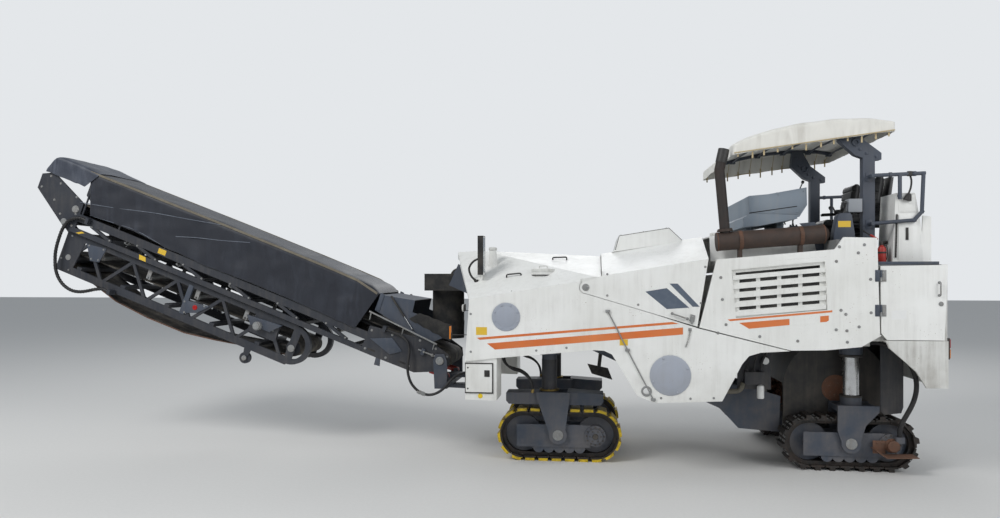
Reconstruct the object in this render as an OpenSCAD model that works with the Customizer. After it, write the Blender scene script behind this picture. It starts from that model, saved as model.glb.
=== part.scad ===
// Cold planer (road milling machine) on four tracks, with its folded discharge conveyor.
// +X points to the rear of the machine, +Y to its right side, +Z up. Travel is along -X.

/* [Whole machine] */
// Half of the width over the side walls
half_w = 1250; // [1150:10:1350]
// Distance from the front crawler centre to the rear crawler centre
wheelbase = 2950; // [2850:10:3050]
// Gap between seated pieces
seam = 0.3; // [0.2:0.1:0.5]

/* [Crawlers] */
// Length of a crawler over its shoes
track_l = 1330; // [1200:10:1400]
// Height of a crawler over its shoes
track_h = 560; // [500:10:600]
// Width of a shoe
track_w = 260; // [220:10:300]
// Number of shoes on a crawler
shoe_n = 22; // [16:1:24]
// Thickness of a shoe
shoe_t = 52; // [40:1:60]
// Distance of a front crawler's centre line from the middle
front_y = 535; // [500:5:600]
// Distance of the left rear crawler's centre line from the middle
rear_left_y = 590; // [570:5:640]
// Distance of the right rear crawler's centre line from the middle
rear_right_y = 1082; // [1078:1:1084]
// Height of a yoke's pin above the ground
yoke_pin_z = 285; // [260:5:300]
// Thickness of a yoke's plate
yoke_t = 28; // [20:1:32]
// Distance of the front steering axis ahead of the crawler centre
steer_lead = 110; // [60:5:150]
// Radius of a lifting column
column_r = 80; // [60:1:82]

/* [Milling drum] */
// Radius over the tips of the picks
drum_r = 490; // [450:5:500]
// Milling width
drum_w = 1260; // [1200:10:1270]
// Height of the drum's axis above the ground
drum_z = 800; // [780:5:820]
// Distance of the drum's axis ahead of the rear crawler centre
drum_lead = 50; // [0:5:60]
// Left inner face of the drum housing
drum_left_y = -395; // [-398:1:-380]
// Rows of picks round the drum
pick_rows = 12; // [8:1:16]
// Picks along a row
pick_cols = 9; // [6:1:11]

/* [Discharge conveyor] */
// Slope of the conveyor at rest
boom_tilt = 21.2; // [15:0.1:25]
// Length from the tail pulley to the folding hinge
boom_l = 4850; // [4600:10:4900]
// Half of the width over the conveyor's side frames
boom_half_w = 450; // [430:5:470]
// Height of the tail pulley and lifting axis
boom_z = 1040; // [1000:5:1060]
// Distance of the slewing axis ahead of the front crawler centre
slew_lead = 1330; // [1320:5:1360]
// Length of the folding section
fold_l = 3450; // [3300:10:3500]
// Height of the conveyor's cover above the belt line
cover_h = 520; // [480:5:540]

/* [Loading conveyor] */
// Half of the width over the loading conveyor
loader_half_w = 395; // [360:5:400]
// Depth of the loading conveyor's trough
loader_h = 260; // [220:5:280]

/* [Platform] */
// Height of the platform floor
floor_z = 2090; // [2060:5:2100]
// Half of the width of the canopy
canopy_half_w = 1030; // [950:5:1080]

/* [Hidden] */

$fn = 48;
eps = 1;
// Places along the machine, measured from the front crawler centre
rear_x = wheelbase;
steer_x = -steer_lead;
rear_column_x = rear_x + 45;
drum_x = rear_x - drum_lead;
slew_x = -slew_lead;
// Edge of the side wall: a straight line that rises to the rear
edge_x = [-880, 1540, 2640];
edge_z = [1750, 2140, 2235];
edge_slope = (edge_z[1] - edge_z[0]) / (edge_x[1] - edge_x[0]);
function edge(x) = x < edge_x[1]
    ? edge_z[0] + (x - edge_x[0]) * edge_slope
    : edge_z[1] + (x - edge_x[1]) * (edge_z[2] - edge_z[1]) / (edge_x[2] - edge_x[1]);
flank_t = 300;
flank_in = half_w - flank_t;
tank_in = loader_half_w + 25;
tank_bottom = 1225;
wall = 12;
side_wall_t = 30;
pivot = [290, 1870];
pivot_r = 60;
// Rear slanted edge of the hood and of the flank's cut for it
hood_rear_low = [1365, 1482];
hood_rear_top = [1528, 2138];
hood_gap = 8;
deck_end = 440;
bulkhead_x = 2700;
rear_end_x = 3650;
tank_top = floor_z - 40;
tank_half_w = half_w - 70;
leg_socket_z = 1360;
ladder_t = 60;
// Foremost point of the conveyor's head, and the front crawler centre's distance from
// the middle of the whole length
head_tip = [boom_l + 470, 90];
front_x = (slew_lead + head_tip[0] * cos(boom_tilt) - head_tip[1] * sin(boom_tilt)
    - rear_end_x - ladder_t) / 2;
// Loading conveyor: lower and upper axis points
loader_low = [2190, 500];
loader_high = [-1140, 1975];
loader_tilt = atan((loader_high[1] - loader_low[1]) / (loader_low[0] - loader_high[0]));
loader_len = norm(loader_high - loader_low);
housing_r = drum_r + 24;
housing_t = 16;
fold_n = -170;
fold_half_w = 400;
fold_low_n = -760;
fold_top_n = -265;
// Pulleys of the folding section's belt. Columns: s, n, radius over the belt
fold_pulleys = [[boom_l - 170, -560, 80], [boom_l - fold_l + 290, -540, 100]];
white = "white";
steel_grey = "#4a5363";
black = "#1c1c1e";
// Routes of the hoses. Columns of the first two: s, n in the conveyor's frame, and y
front_hose_r = 15;
front_hose_route = [
    [700, 95, -480], [620, 95, -480], [540, 95, -480], [470, 80, -485], [410, 45, -495], [370, -10, -510],
    [345, -75, -525], [325, -145, -540], [300, -215, -545], [260, -285, -545], [205, -345, -545],
    [135, -385, -545], [60, -405, -545], [-15, -395, -545], [-80, -355, -545], [-125, -295, -545],
    [-150, -225, -540], [-160, -150, -530], [-165, -75, -510], [-185, -5, -480], [-220, 60, -445],
    [-275, 110, -415], [-345, 145, -395], [-432, 179, -395],
];
head_hose_r = 18;
head_hose_route = [
    [4560, -50, -482], [4625, -50, -482], [4685, -65, -482], [4740, -100, -482], [4780, -150, -482],
    [4805, -215, -482], [4815, -290, -482], [4815, -375, -482], [4810, -460, -482], [4795, -550, -482],
    [4765, -640, -482], [4725, -725, -482], [4665, -800, -482], [4590, -855, -482], [4505, -885, -482],
    [4415, -890, -482], [4325, -865, -482], [4240, -820, -482], [4160, -770, -482], [4080, -735, -482],
    [4000, -735, -482],
];
// Columns: x, y, z on the machine
rear_hose_r = 25;
rear_hose_route = [
    [3080, -850, 1320], [3150, -850, 1320], [3220, -850, 1308], [3288, -850, 1280], [3350, -850, 1240],
    [3408, -850, 1190], [3458, -850, 1130], [3495, -850, 1060], [3520, -850, 985], [3530, -850, 905],
    [3525, -848, 825], [3508, -843, 748], [3480, -835, 672], [3450, -818, 600], [3422, -796, 525],
    [3405, -778, 450], [3400, -775, 376],
];

// Frames that place the machine's pieces
module on_machine() {
    translate([front_x, 0, 0]) children();
}

// Side profile drawn in X and Z, extruded from y1 to y2
module side_slab(y1, y2) {
    translate([0, y2, 0]) rotate([90, 0, 0]) linear_extrude(y2 - y1) children();
}

module tube_y(r, y1, y2, x, z) {
    translate([x, y1, z]) rotate([-90, 0, 0]) cylinder(r = r, h = y2 - y1);
}

// Conveyor frame: s runs from the tail to the head, n is square to it, upwards
module on_boom() {
    on_machine() translate([slew_x, 0, boom_z]) rotate([0, boom_tilt, 0]) children();
}

// A bar in the conveyor frame between two (s, n) points
module boom_bar(p, q, y1, y2, t) {
    d = q - p;
    translate([-p[0], 0, p[1]])
        rotate([0, atan2(d[1], d[0]), 0])
            translate([-norm(d), y1, -t / 2]) cube([norm(d), y2 - y1, t]);
}

module boom_plate(points, y1, y2) {
    side_slab(y1, y2) polygon([for (p = points) [-p[0], p[1]]]);
}

// One cross section of a body: width at the edge, ridge, and depth below
module section(x, ze, zr, ridge_w, zb, w) {
    translate([x, 0, 0]) rotate([90, 0, 90]) linear_extrude(eps)
        polygon([[-w, zb], [-w, ze], [-ridge_w, zr], [ridge_w, zr], [w, ze], [w, zb]]);
}

/* Front body */
// Columns: x, ridge height, half width of the ridge
deck_stations = [[-880, 2270, 300], [440, 2200, 420]];
bed_top = 1500;
beam_z = [1380, 1430];
nose_x = -1180;
// Roof of the loading conveyor's passage
function tunnel_z(x) = loader_low[1] + (loader_low[0] - x) * (loader_high[1] - loader_low[1])
    / (loader_low[0] - loader_high[0]) + (loader_h / 2 + 40) / cos(loader_tilt);

// Sloping roof over the storage tanks, raised by a lift
module deck_form(lift) {
    band = 60;
    hull() for (s = deck_stations)
        section(s[0], edge(s[0]) + lift, s[1] + lift, s[2], edge(s[0]) - band, half_w);
}

module front_body() {
    color(white) on_machine() difference() {
        union() {
            deck_form(0);
            hull() {
                section(deck_stations[0][0], edge_z[0], 2270, 300, edge_z[0] - 20, half_w - 20);
                translate([nose_x, -200, 2190]) cube([eps, 400, 70]);
            }
            for (m = [-1, 1])
                side_slab(min(m * tank_in, m * (flank_in - seam)), max(m * tank_in, m * (flank_in - seam)))
                    polygon([[-860, tank_bottom], [-860, edge(-860) - 40], [deck_end, edge(deck_end) - 40],
                        [deck_end, bed_top], [1540, bed_top], [1540, beam_z[1]],
                        [bulkhead_x + 40 - seam, beam_z[1]], [bulkhead_x + 40 - seam, beam_z[0]],
                        [1540, beam_z[0]], [1500, tank_bottom]]);
        }
        // Passage of the loading conveyor, parallel to it
        side_slab(-tank_in, tank_in)
            polygon([[-1400, 500], [-1400, tunnel_z(-1400)], [deck_end + 60, tunnel_z(deck_end + 60)],
                [deck_end + 60, 500]]);
        for (m = [-1, 1]) {
            translate([steer_x, m * front_y, tank_bottom - 10]) cylinder(r = column_r + 32, h = 160);
            // Room for the hood's side and its swing about the pivot
            side_slab(m < 0 ? -half_w - 1 : half_w - wall - 30, m < 0 ? -half_w + wall + 30 : half_w + 1) {
                hood_side_form(6);
                translate(pivot + [-52, 25]) square([160, 160]);
            }
            tube_y(26.3, m < 0 ? -half_w : half_w - wall - 26, m < 0 ? -half_w + wall + 26 : half_w,
                pivot[0], pivot[1]);
        }
    }
}

/* Side walls */
// Outline of a flank from the front corner over the pivot, along the seam and under the arches
flank_outline = [
    [-920, 1120], [edge_x[0], edge_z[0] - 60 - seam], [deck_end, edge(deck_end) - 60 - seam],
    [deck_end, 1772], [hood_rear_low[0] + 5, hood_rear_low[1] - 8], [1700, 1392], [2230, 1262],
    [2080, 1252], [1960, 1245], [1850, 1210], [1785, 1130], [1740, 1040], [1600, 770], [960, 740], [790, 810],
    [590, 1140], [545, 1210], [470, 1245], [370, 1250], [-590, 1160],
];

skirt_t = 40;
// Round covers in shallow seats. Columns: x, z, radius
covers = [[-503, 1572, 145], [1109, 1012, 200]];
eye = [880, 855];
eye_r = 32;
module flank(m) {
    y1 = m < 0 ? -half_w : flank_in;
    color(white) on_machine() difference() {
        side_slab(y1, y1 + flank_t) polygon(flank_outline);
        // Recess of the hood's side, and shallow seats of the two round covers
        side_slab(m < 0 ? -half_w - 1 : half_w - wall - 7, m < 0 ? -half_w + wall + 7 : half_w + 1)
            hood_side_form(6);
        tube_y(26.3, m < 0 ? -half_w : half_w - wall - 26, m < 0 ? -half_w + wall + 26 : half_w,
            pivot[0], pivot[1]);
        for (c = covers)
            tube_y(c[2] + 5, m < 0 ? y1 - 1 : y1 + flank_t - 3,
                m < 0 ? y1 + 3 : y1 + flank_t + 1, c[0], c[1]);
        // Thin skirt below, with the eye for lifting and tying down
        translate([700, m < 0 ? -half_w + skirt_t : flank_in - 1, 700])
            cube([1050, flank_t - skirt_t + 1, 480]);
        tube_y(eye_r, -half_w - 1, half_w + 1, eye[0], eye[1]);
    }
}
module flank_left() { flank(-1); }
module flank_right() { flank(1); }

rear_side_outline = [
    [1385, 1482], [1548, edge(1548)], [2640, edge(2640)], [2720, 2350], [3020, 2342], [3045, 1425],
    [3060, 1420], [2880, 1310], [2560, 1275], [2240, 1268],
];
louvre_opening = [[1640, 2085], [2590, 2170], [2615, 1545], [1700, 1450]];

module rear_side(m) {
    y1 = m < 0 ? -half_w : half_w - side_wall_t;
    color(white) on_machine() difference() {
        side_slab(y1, y1 + side_wall_t) polygon(rear_side_outline);
        side_slab(y1 - 1, y1 + side_wall_t + 1) polygon(louvre_opening);
    }
}
module rear_side_left() { rear_side(-1); }
module rear_side_right() { rear_side(1); }

// Slatted panel: a frame with sloping slats and slotted plates behind them
slat_n = 5;
louvre_hole = [[1690, 2040], [2550, 2120], [2572, 1660], [1728, 1575]];
module louvre(m) {
    module layer(y1, y2) {
        side_slab(m < 0 ? -half_w + y1 : half_w - y2, m < 0 ? -half_w + y2 : half_w - y1) children();
    }
    color(white) on_machine() {
        layer(0, 26) difference() {
            offset(delta = -seam) polygon(louvre_opening);
            polygon(louvre_hole);
        }
        layer(25, 32) difference() {
            offset(delta = -2) polygon(louvre_opening);
            for (i = [0:slat_n - 2], j = [0:3])
                translate([1775 + j * 195, 1690 + j * 17 + i * 88]) square([130, 26]);
            polygon([[1730, 2012], [2510, 2086], [2512, 2050], [1730, 1982]]);
        }
        for (i = [0:slat_n - 1])
            layer(4, 26) polygon([[1700, 1590 + i * 88], [2562, 1668 + i * 88], [2562, 1712 + i * 88],
                [1700, 1634 + i * 88]]);
    }
}
module louvre_left() { louvre(-1); }
module louvre_right() { louvre(1); }

/* Upper deck behind the hood */
module rear_deck_form(lift) {
    hull() {
        section(1560, 2150 + lift, 2395 + lift, 720, 2120, 780);
        section(bulkhead_x - 40, 2250 + lift, 2500 + lift, 720, 2200, 780);
    }
}

module rear_deck() {
    color(white) on_machine() {
        difference() {
            union() {
                rear_deck_form(0);
                for (m = [-1, 1])
                    side_slab(m < 0 ? -half_w + side_wall_t + seam : 760,
                        m < 0 ? -760 : half_w - side_wall_t - seam)
                        polygon([[1560, 2100], [1560, deck_strip_z(1560)], [2660, deck_strip_z(2660)],
                            [2660, 2194]]);
            }
            hull() {
                section(1550, 2140, 2380, 705, 2100, 765);
                section(bulkhead_x - 50, 2230, 2485, 705, 2180, 765);
            }
        }
    }
}

module rear_tank() {
    color("#d8d8d4") on_machine() difference() {
        union() {
            translate([bulkhead_x + 40, -tank_half_w, leg_socket_z])
                cube([860, 2 * tank_half_w, tank_top - leg_socket_z]);
            translate([rear_end_x - 50, -half_w, 930]) cube([50, 2 * half_w, 442]);
            translate([rear_end_x - 50, -half_w + rear_door_t + seam, 1371])
                cube([50, 2 * (half_w - rear_door_t - seam), floor_z - 1371 - seam]);
            for (m = [-1, 1])
                side_slab(m < 0 ? -half_w : half_w - side_wall_t, m < 0 ? -half_w + side_wall_t : half_w)
                    polygon([[3100, 1372], [3130, 1300], [3230, 1210], [3370, 1080], [3460, 930],
                        [rear_end_x - 50, 930], [rear_end_x - 50, 1372]]);
            for (m = [-1, 1])
                translate([3100, m < 0 ? -half_w : tank_half_w, 1355]) cube([500, half_w - tank_half_w, 17]);
            // Fitting of the rear hose
            translate([3020, -885, 1285]) cube([60 - seam, 70, 80]);
        }
        for (m = [-1, 1])
            translate([3110, m < 0 ? -tank_half_w - 1 : tank_half_w - 319, 1440]) cube([450, 320, 560]);
        for (y = [-rear_left_y, rear_right_y])
            translate([rear_column_x, y, leg_socket_z - 1]) cylinder(r = column_r + 32, h = 200);
    }
}

module engine() {
    color("#5b6066") on_machine() translate([520, -450, bed_top + seam]) cube([860, 900, 540]);
}

/* Hood: a hollow shell that tilts on plugs in both flanks */
hood_lift = 20;
hood_front = deck_end + 8;
// Ridge of the hood, a straight line that rises to the rear
hood_ridge = [2205, 2385];
function ridge(x) = hood_ridge[0]
    + (x - hood_front) * (hood_ridge[1] - hood_ridge[0]) / (hood_rear_top[0] - hood_front);

// Side view of the hood from its pivot arc along the seam to the slanted rear edge
module hood_side_form(margin) {
    translate(pivot) circle(pivot_r + margin);
    polygon([
        [pivot[0], pivot[1] - pivot_r - margin],
        [hood_rear_low[0] + margin, hood_rear_low[1] + hood_gap - margin],
        [hood_rear_top[0] + margin, 2500], [hood_front - margin, 2500],
        [hood_front - margin, edge(hood_front) + hood_lift], [pivot[0], pivot[1] + pivot_r],
    ]);
}

module hood_loft() {
    hull() for (x = [hood_front, hood_rear_top[0] + 20])
        section(x, edge(x) + hood_lift, ridge(x) + hood_lift, 500, 1400, half_w);
}

module hood() {
    box_y = 540;
    color(white) on_machine() {
        difference() {
            intersection() {
                union() {
                    hood_loft();
                    side_slab(-half_w, half_w)
                        translate([pivot[0] - 100, 1700]) square([hood_front - pivot[0] + 110, 330]);
                }
                side_slab(-half_w - 1, half_w + 1) hood_side_form(0);
            }
            hull() for (x = [hood_front - 300, hood_rear_top[0] + 100])
                section(x, edge(x) + hood_lift - wall, ridge(x) + hood_lift - wall, 500, 1300, half_w - wall);
        }
        // Raised box over the engine's air intake
        side_slab(-box_y, box_y)
            polygon([[560, 2240], [600, 2270], [640, 2420], [1165, 2500], [1300, 2370], [1300, 2350]]);
        for (m = [-1, 1])
            tube_y(26, m < 0 ? -half_w + wall - 2 : half_w - wall - 24,
                m < 0 ? -half_w + wall + 24 : half_w - wall + 2, pivot[0], pivot[1]);
    }
}

/* Muffler and exhaust */
muffler_y = 300 - half_w;
// Top of the rear deck's side strip
function deck_strip_z(x) = 2132 + (x - 1560) * 94 / 1100;
muffler_z = 2318;
module muffler() {
    color("#5a4438") on_machine() {
        translate([1500, muffler_y, muffler_z]) rotate([0, 86, 0]) translate([0, 0, 90]) {
            cylinder(r = 92, h = 1040);
            translate([0, 0, 1039]) cylinder(r1 = 92, r2 = 45, h = 40);
        }
        for (x = [1800, 2380])
            translate([x, muffler_y - 30, deck_strip_z(x + 40) + seam]) cube([40, 60, 130]);
    }
}

module exhaust_pipe() {
    color("#4c4038") on_machine() {
        difference() {
            translate([1680, muffler_y, 2380]) rotate([0, -5, 0]) cylinder(r = 50, h = 684);
            translate([1500, muffler_y, muffler_z]) rotate([0, 86, 0]) cylinder(r = 92 + seam, h = 600);
        }
        translate([1680 - 640 * sin(5), muffler_y, 2424 + 640 * cos(5)])
            rotate([0, 12, 0]) translate([0, 0, -12]) cylinder(r = 50.6, h = 190);
    }
}

/* Storage boxes beside the loading conveyor */
box_x = [-918, -600];
box_z = [735, 1140];
box_d = 400;
// Top of a storage box, seated under the flank's first lower edge
function box_top(x) = 1120 + (x + 920) * 40 / 330 - seam;
door_t = 14;
module storage_box(m) {
    color(white) on_machine() difference() {
        side_slab(m < 0 ? -half_w + door_t : half_w - box_d, m < 0 ? -half_w + box_d : half_w - door_t)
            polygon([[box_x[0], box_z[0]], [box_x[0], box_top(box_x[0])], [box_x[1], box_top(box_x[1])],
                [box_x[1], box_z[0] - 5]]);
        translate([box_x[0] + 20, m < 0 ? -half_w : half_w - box_d + 20, box_z[0] + 90])
            cube([box_x[1] - box_x[0] - 70, box_d - 20, 270]);
    }
}
module storage_box_left() { storage_box(-1); }
module storage_box_right() { storage_box(1); }

module storage_door(m) {
    color(white) on_machine() {
        side_slab(m < 0 ? -half_w : half_w - door_t + seam, m < 0 ? -half_w + door_t - seam : half_w)
            polygon([[box_x[0] + 6, box_z[0] + 80], [box_x[0] + 6, box_z[1] - 45],
                [box_x[1] - 45, box_z[1] - 45], [box_x[1] - 45, box_z[0] + 80]]);
    }
}
module storage_door_left() { storage_door(-1); }
module storage_door_right() { storage_door(1); }

rear_door_x = [3058, rear_end_x - 4];
rear_door_t = 22;
module rear_door(m) {
    color(white) on_machine()
        side_slab(m < 0 ? -half_w : half_w - rear_door_t, m < 0 ? -half_w + rear_door_t : half_w)
            polygon([[rear_door_x[0], 1440], [rear_door_x[0] - 6, 2075],
                [rear_door_x[1], 2085], [rear_door_x[1] - 30, 1378], [3110, 1378]]);
}
module rear_door_left() { rear_door(-1); }
module rear_door_right() { rear_door(1); }

/* Platform */
stand_z = floor_z + 2 * seam;
module platform_floor() {
    color("#8d9196") on_machine() {
        translate([bulkhead_x - 20, -half_w + side_wall_t + seam, tank_top + seam])
            cube([rear_end_x - 50 - seam - bulkhead_x + 20, 2 * (half_w - side_wall_t - seam), 40]);
        // Wall between the engine deck and the platform
        translate([bulkhead_x - 38, -half_w + side_wall_t + seam, tank_top - 300])
            cube([30, 2 * (half_w - side_wall_t - seam), 2330 - tank_top + 300]);
    }
}

module rail_pipe(points, r) {
    for (i = [0:len(points) - 2]) {
        a = points[i];
        d = points[i + 1] - a;
        u = d / norm(d);
        translate(a - u * (i == 0 ? 0 : r * 0.9)) rotate([0, acos(u[2]), atan2(d[1], d[0])])
            cylinder(r = r + i % 2 * 0.4, h = norm(d) + r * (i == 0 ? 0.9 : 1.8), $fn = 24);
    }
}

rail_r = 18;
rail_y = half_w - 205;
post_x = [2995, 3107];
post_y = [half_w - 395, half_w - 305];
module rail() {
    mid = (post_x[0] + post_x[1]) / 2;
    color(steel_grey) on_machine() for (m = [-1, 1]) {
        // Loop from the canopy post round the platform's side and back
        rail_pipe([[mid, m * (post_y[1] + seam), 2955], [mid, m * rail_y, 2955], [3515, m * rail_y, 2970],
            [3500, m * rail_y, 2600], [3430, m * rail_y, 2520], [mid, m * rail_y, 2490],
            [mid, m * (post_y[1] + seam + 0.9 * rail_r), 2490]], rail_r);
        rail_pipe([[3300, m * rail_y, 2963], [3300, m * rail_y, m < 0 ? 2740 : 2512]], rail_r);
    }
    color(steel_grey) on_machine() translate([3285, -rail_y + 5, 2745])
        cube([30, rail_y - 5 - cabinet_y - seam, 24]);
}

// Tall locker at the platform's left edge, narrower at its top
cabinet_y = half_w - 230;
module cabinet() {
    color(white) on_machine() {
        side_slab(-cabinet_y, -cabinet_y + 380)
            polygon([[3240, stand_z], [3262, 2600], [3270, 2785], [3450, 2785], [3480, 2600], [3555, 2130],
                [3555, stand_z]]);
        side_slab(-cabinet_y, -cabinet_y + 20)
            polygon([[3500, stand_z], [3520, 2565], [3596, 2555], [3596, stand_z]]);
    }
}

console_half_w = 700;
module console() {
    color("#7e8a96") on_machine() difference() {
        union() {
            // Instrument desk, the cable box in front of it, and its feet
            side_slab(-console_half_w, console_half_w) {
                polygon([[1960, 2610], [1960, 2810], [2150, 2825], [2530, 2890], [2535, 2710], [2460, 2590]]);
                polygon([[1905, 2490], [1905, 2585], [1985, 2635], [2430, 2700], [2440, 2570], [2060, 2500]]);
            }
            for (x = [2000, 2330])
                translate([x, -300, 2380]) cube([70, 600, 140 + (x - 2000) * 0.2]);
        }
        rear_deck_form(seam);
    }
}

module seat() {
    color(black) on_machine() {
        for (y = [-350, 350]) {
            translate([3050, y - 60, stand_z]) cube([120, 120, 420]);
            translate([2930, y - 230, floor_z + 420]) cube([440, 460, 100]);
            translate([3320, y - 220, floor_z + 520]) rotate([0, 8, 0]) cube([80, 440, 420]);
        }
        // Steering desks at both edges
        for (m = [-1, 1])
            side_slab(m < 0 ? -half_w + 240 : half_w - 360, m < 0 ? -half_w + 360 : half_w - 240)
                polygon([[2705, stand_z], [2705, 2400], [2745, 2590], [2860, 2600], [2900, 2400],
                    [2900, stand_z]]);
    }
}

/* Canopy */
// Top line of the canopy in X and Z
canopy_line = [[1740, 3310], [1900, 3388], [2150, 3462], [2400, 3512], [2750, 3545], [3060, 3540],
    [3270, 3505]];
canopy_t = 14;
// Point below the canopy line, kept inside its end walls
canopy_last = len(canopy_line) - 1;
function canopy_z(x, i = 1) = x <= canopy_line[i][0] || i == canopy_last
    ? canopy_line[i - 1][1] + (x - canopy_line[i - 1][0]) * (canopy_line[i][1] - canopy_line[i - 1][1])
        / (canopy_line[i][0] - canopy_line[i - 1][0])
    : canopy_z(x, i + 1);
function canopy_seat(p, drop) =
    let (x = min(max(p[0], canopy_line[0][0] + 16), canopy_line[canopy_last][0] - 16))
        [x, canopy_z(x) - drop];
valance = 120;
module canopy() {
    top = canopy_line;
    under = [for (i = [len(top) - 1:-1:0]) top[i] - [0, canopy_t]];
    low = [for (i = [canopy_last, 0]) top[i] - [0, valance]];
    color("#e8e6e0") on_machine() {
        side_slab(-canopy_half_w, canopy_half_w) polygon(concat(top, under));
        for (y = [-canopy_half_w, canopy_half_w - canopy_t])
            side_slab(y, y + canopy_t) polygon(concat(top, low));
        for (i = [0, len(top) - 1])
            translate([top[i][0] - (i == 0 ? 0 : canopy_t), -canopy_half_w, top[i][1] - valance])
                cube([canopy_t, 2 * canopy_half_w, valance]);
    }
}

module canopy_post() {
    color(steel_grey) on_machine() for (m = [-1, 1]) {
        y = m * (post_y[0] + post_y[1]) / 2;
        translate([post_x[0], y - 45, stand_z]) cube([post_x[1] - post_x[0], 90, 1060]);
        side_slab(y - 40, y + 40)
            polygon([[post_x[0], 3145], [2920, 3175], [2770, 3320], [2785, 3500], [2900, 3510], [2995, 3330],
                [3170, 3190], [3170, 3125], [post_x[1], 3118]]);
        // Frame that carries the sheet
        side_slab(y - 18, y + 18) polygon(concat(
            [for (p = canopy_line) canopy_seat(p, canopy_t + seam)],
            [for (i = [len(canopy_line) - 1:-1:0]) canopy_seat(canopy_line[i], canopy_t + 36)]));
    }
}

module ladder() {
    color(steel_grey) on_machine() {
        for (y = [700, 1100])
            translate([rear_end_x + seam, y, 620]) cube([ladder_t, 30, 1440]);
        for (z = [640, 920, 1200, 1480, 1760])
            translate([rear_end_x + seam, 730, z]) cube([ladder_t, 370, 30]);
    }
}

// Half-sunk filler tub, tapered neck and mirror on the sloping roof
module deck_fittings() {
    color(white) on_machine() difference() {
        union() {
            translate([-150, -930, 1880]) cylinder(r = 118, h = 165);
            translate([-715, -650, 1990]) cylinder(r1 = 56, r2 = 38, h = 275);
            translate([-828, -1000, 1990]) cube([56, 140, 405]);
            translate([-800, -930, 1900]) cylinder(r = 16, h = 120);
        }
        deck_form(seam);
    }
}

/* Milling drum */
module drum_housing() {
    color(black) on_machine() difference() {
        union() {
            tube_y(housing_r + housing_t, drum_left_y - housing_t, drum_left_y + drum_w + 2 * 15 + housing_t,
                drum_x, drum_z);
            side_slab(drum_left_y - housing_t, drum_left_y + drum_w + 30 + housing_t)
                polygon([[drum_x - housing_r - housing_t, drum_z], [drum_x + housing_r + housing_t, drum_z],
                    [drum_x + housing_r + housing_t, 330], [drum_x - housing_r - housing_t, 330]]);
            // Mounting beam under the rear tank
            translate([drum_x - 50, drum_left_y, drum_z + housing_r])
                cube([100, drum_w, leg_socket_z - seam - drum_z - housing_r]);
        }
        tube_y(housing_r, drum_left_y, drum_left_y + drum_w + 30, drum_x, drum_z);
        translate([drum_x - housing_r, drum_left_y, 200]) cube([2 * housing_r, drum_w + 30, drum_z - 200]);
        tube_y(140 + seam, drum_left_y - 200, drum_left_y + drum_w + 300, drum_x, drum_z);
        // Mouth towards the loading conveyor
        translate([drum_x - housing_r - 40, -360, 360]) cube([120, 720, 480]);
    }
}

module drum() {
    y0 = drum_left_y + 15;
    color("#7a5a45") on_machine() {
        tube_y(400, y0, y0 + drum_w, drum_x, drum_z);
        tube_y(140, drum_left_y - housing_t - 2, drum_left_y + drum_w + 30 + housing_t + 2, drum_x, drum_z);
        for (i = [0:pick_rows - 1], j = [0:pick_cols - 1])
            translate([drum_x, y0 + (j + 0.5) * drum_w / pick_cols, drum_z])
                rotate([0, i * 360 / pick_rows + abs(j - (pick_cols - 1) / 2) * 17, 0]) {
                    translate([390, -22, -25]) cube([50, 44, 60]);
                    translate([430, 0, 5]) rotate([0, 90, 0]) cylinder(r = 13, h = drum_r - 430, $fn = 6);
                }
    }
}

module scraper() {
    x = drum_x + housing_r + housing_t + seam;
    color(steel_grey) on_machine()
        translate([x, drum_left_y - housing_t, 320]) cube([24, drum_w + 30 + 2 * housing_t, 980]);
}

/* Loading conveyor */
module on_loader() {
    on_machine() translate([loader_low[0], 0, loader_low[1]]) rotate([0, loader_tilt, 0]) children();
}

module loading_conveyor() {
    color(steel_grey) on_loader() {
        for (m = [-1, 1])
            side_slab(m < 0 ? -loader_half_w : loader_half_w - 12,
                m < 0 ? -loader_half_w + 12 : loader_half_w)
                polygon([[130, -70], [60, -loader_h / 2 - 10], [-loader_len - 60, -loader_h / 2],
                    [-loader_len - 60, loader_h / 2], [60, loader_h / 2], [130, 60]]);
        for (s = [-300, -900, -1500, -2100, -2700, -3300])
            tube_y(22, -loader_half_w + 6, loader_half_w - 6, s, 0);
        for (s = [-1500, -2700])
            tube_y(30, -tank_in + seam, tank_in - seam, s, 30);
        for (s = [0, -loader_len]) {
            tube_y(86 - seam, -loader_half_w + 34, loader_half_w - 34, s, 0);
            tube_y(30, -loader_half_w + 6, loader_half_w - 6, s, 0);
        }
    }
    // Receiving end in front of the drum
    color(steel_grey) on_machine() for (m = [-1, 1])
        side_slab(m < 0 ? -loader_half_w : loader_half_w - 12, m < 0 ? -loader_half_w + 12 : loader_half_w)
            polygon([[1640, 640], [1910, 350], [2330, 320], [2345, 700], [2150, 760], [1850, 820]]);
}

module loading_belt() {
    y1 = -loader_half_w + 30;
    y2 = loader_half_w - 30;
    color(black) on_loader() difference() {
        hull() {
            tube_y(100, y1, y2, 0, 0);
            tube_y(100, y1, y2, -loader_len, 0);
        }
        hull() {
            tube_y(86, y1 - 1, y2 + 1, 0, 0);
            tube_y(86, y1 - 1, y2 + 1, -loader_len, 0);
        }
    }
}

chute_r = 185;
hopper_x = slew_x - chute_r - 15;
hopper_z = [1819, 2010];
// Everything behind and over the head of the loading conveyor's frame
module loader_cut() {
    on_head() translate([0, -500, -loader_h / 2 - 1]) cube([800, 1000, loader_h + 400]);
}

// Frame at the front end of the loading conveyor's side plates
module on_head() {
    translate([loader_low[0], 0, loader_low[1]]) rotate([0, loader_tilt, 0])
        translate([-loader_len - 60 - seam, 0, 0]) children();
}

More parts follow.
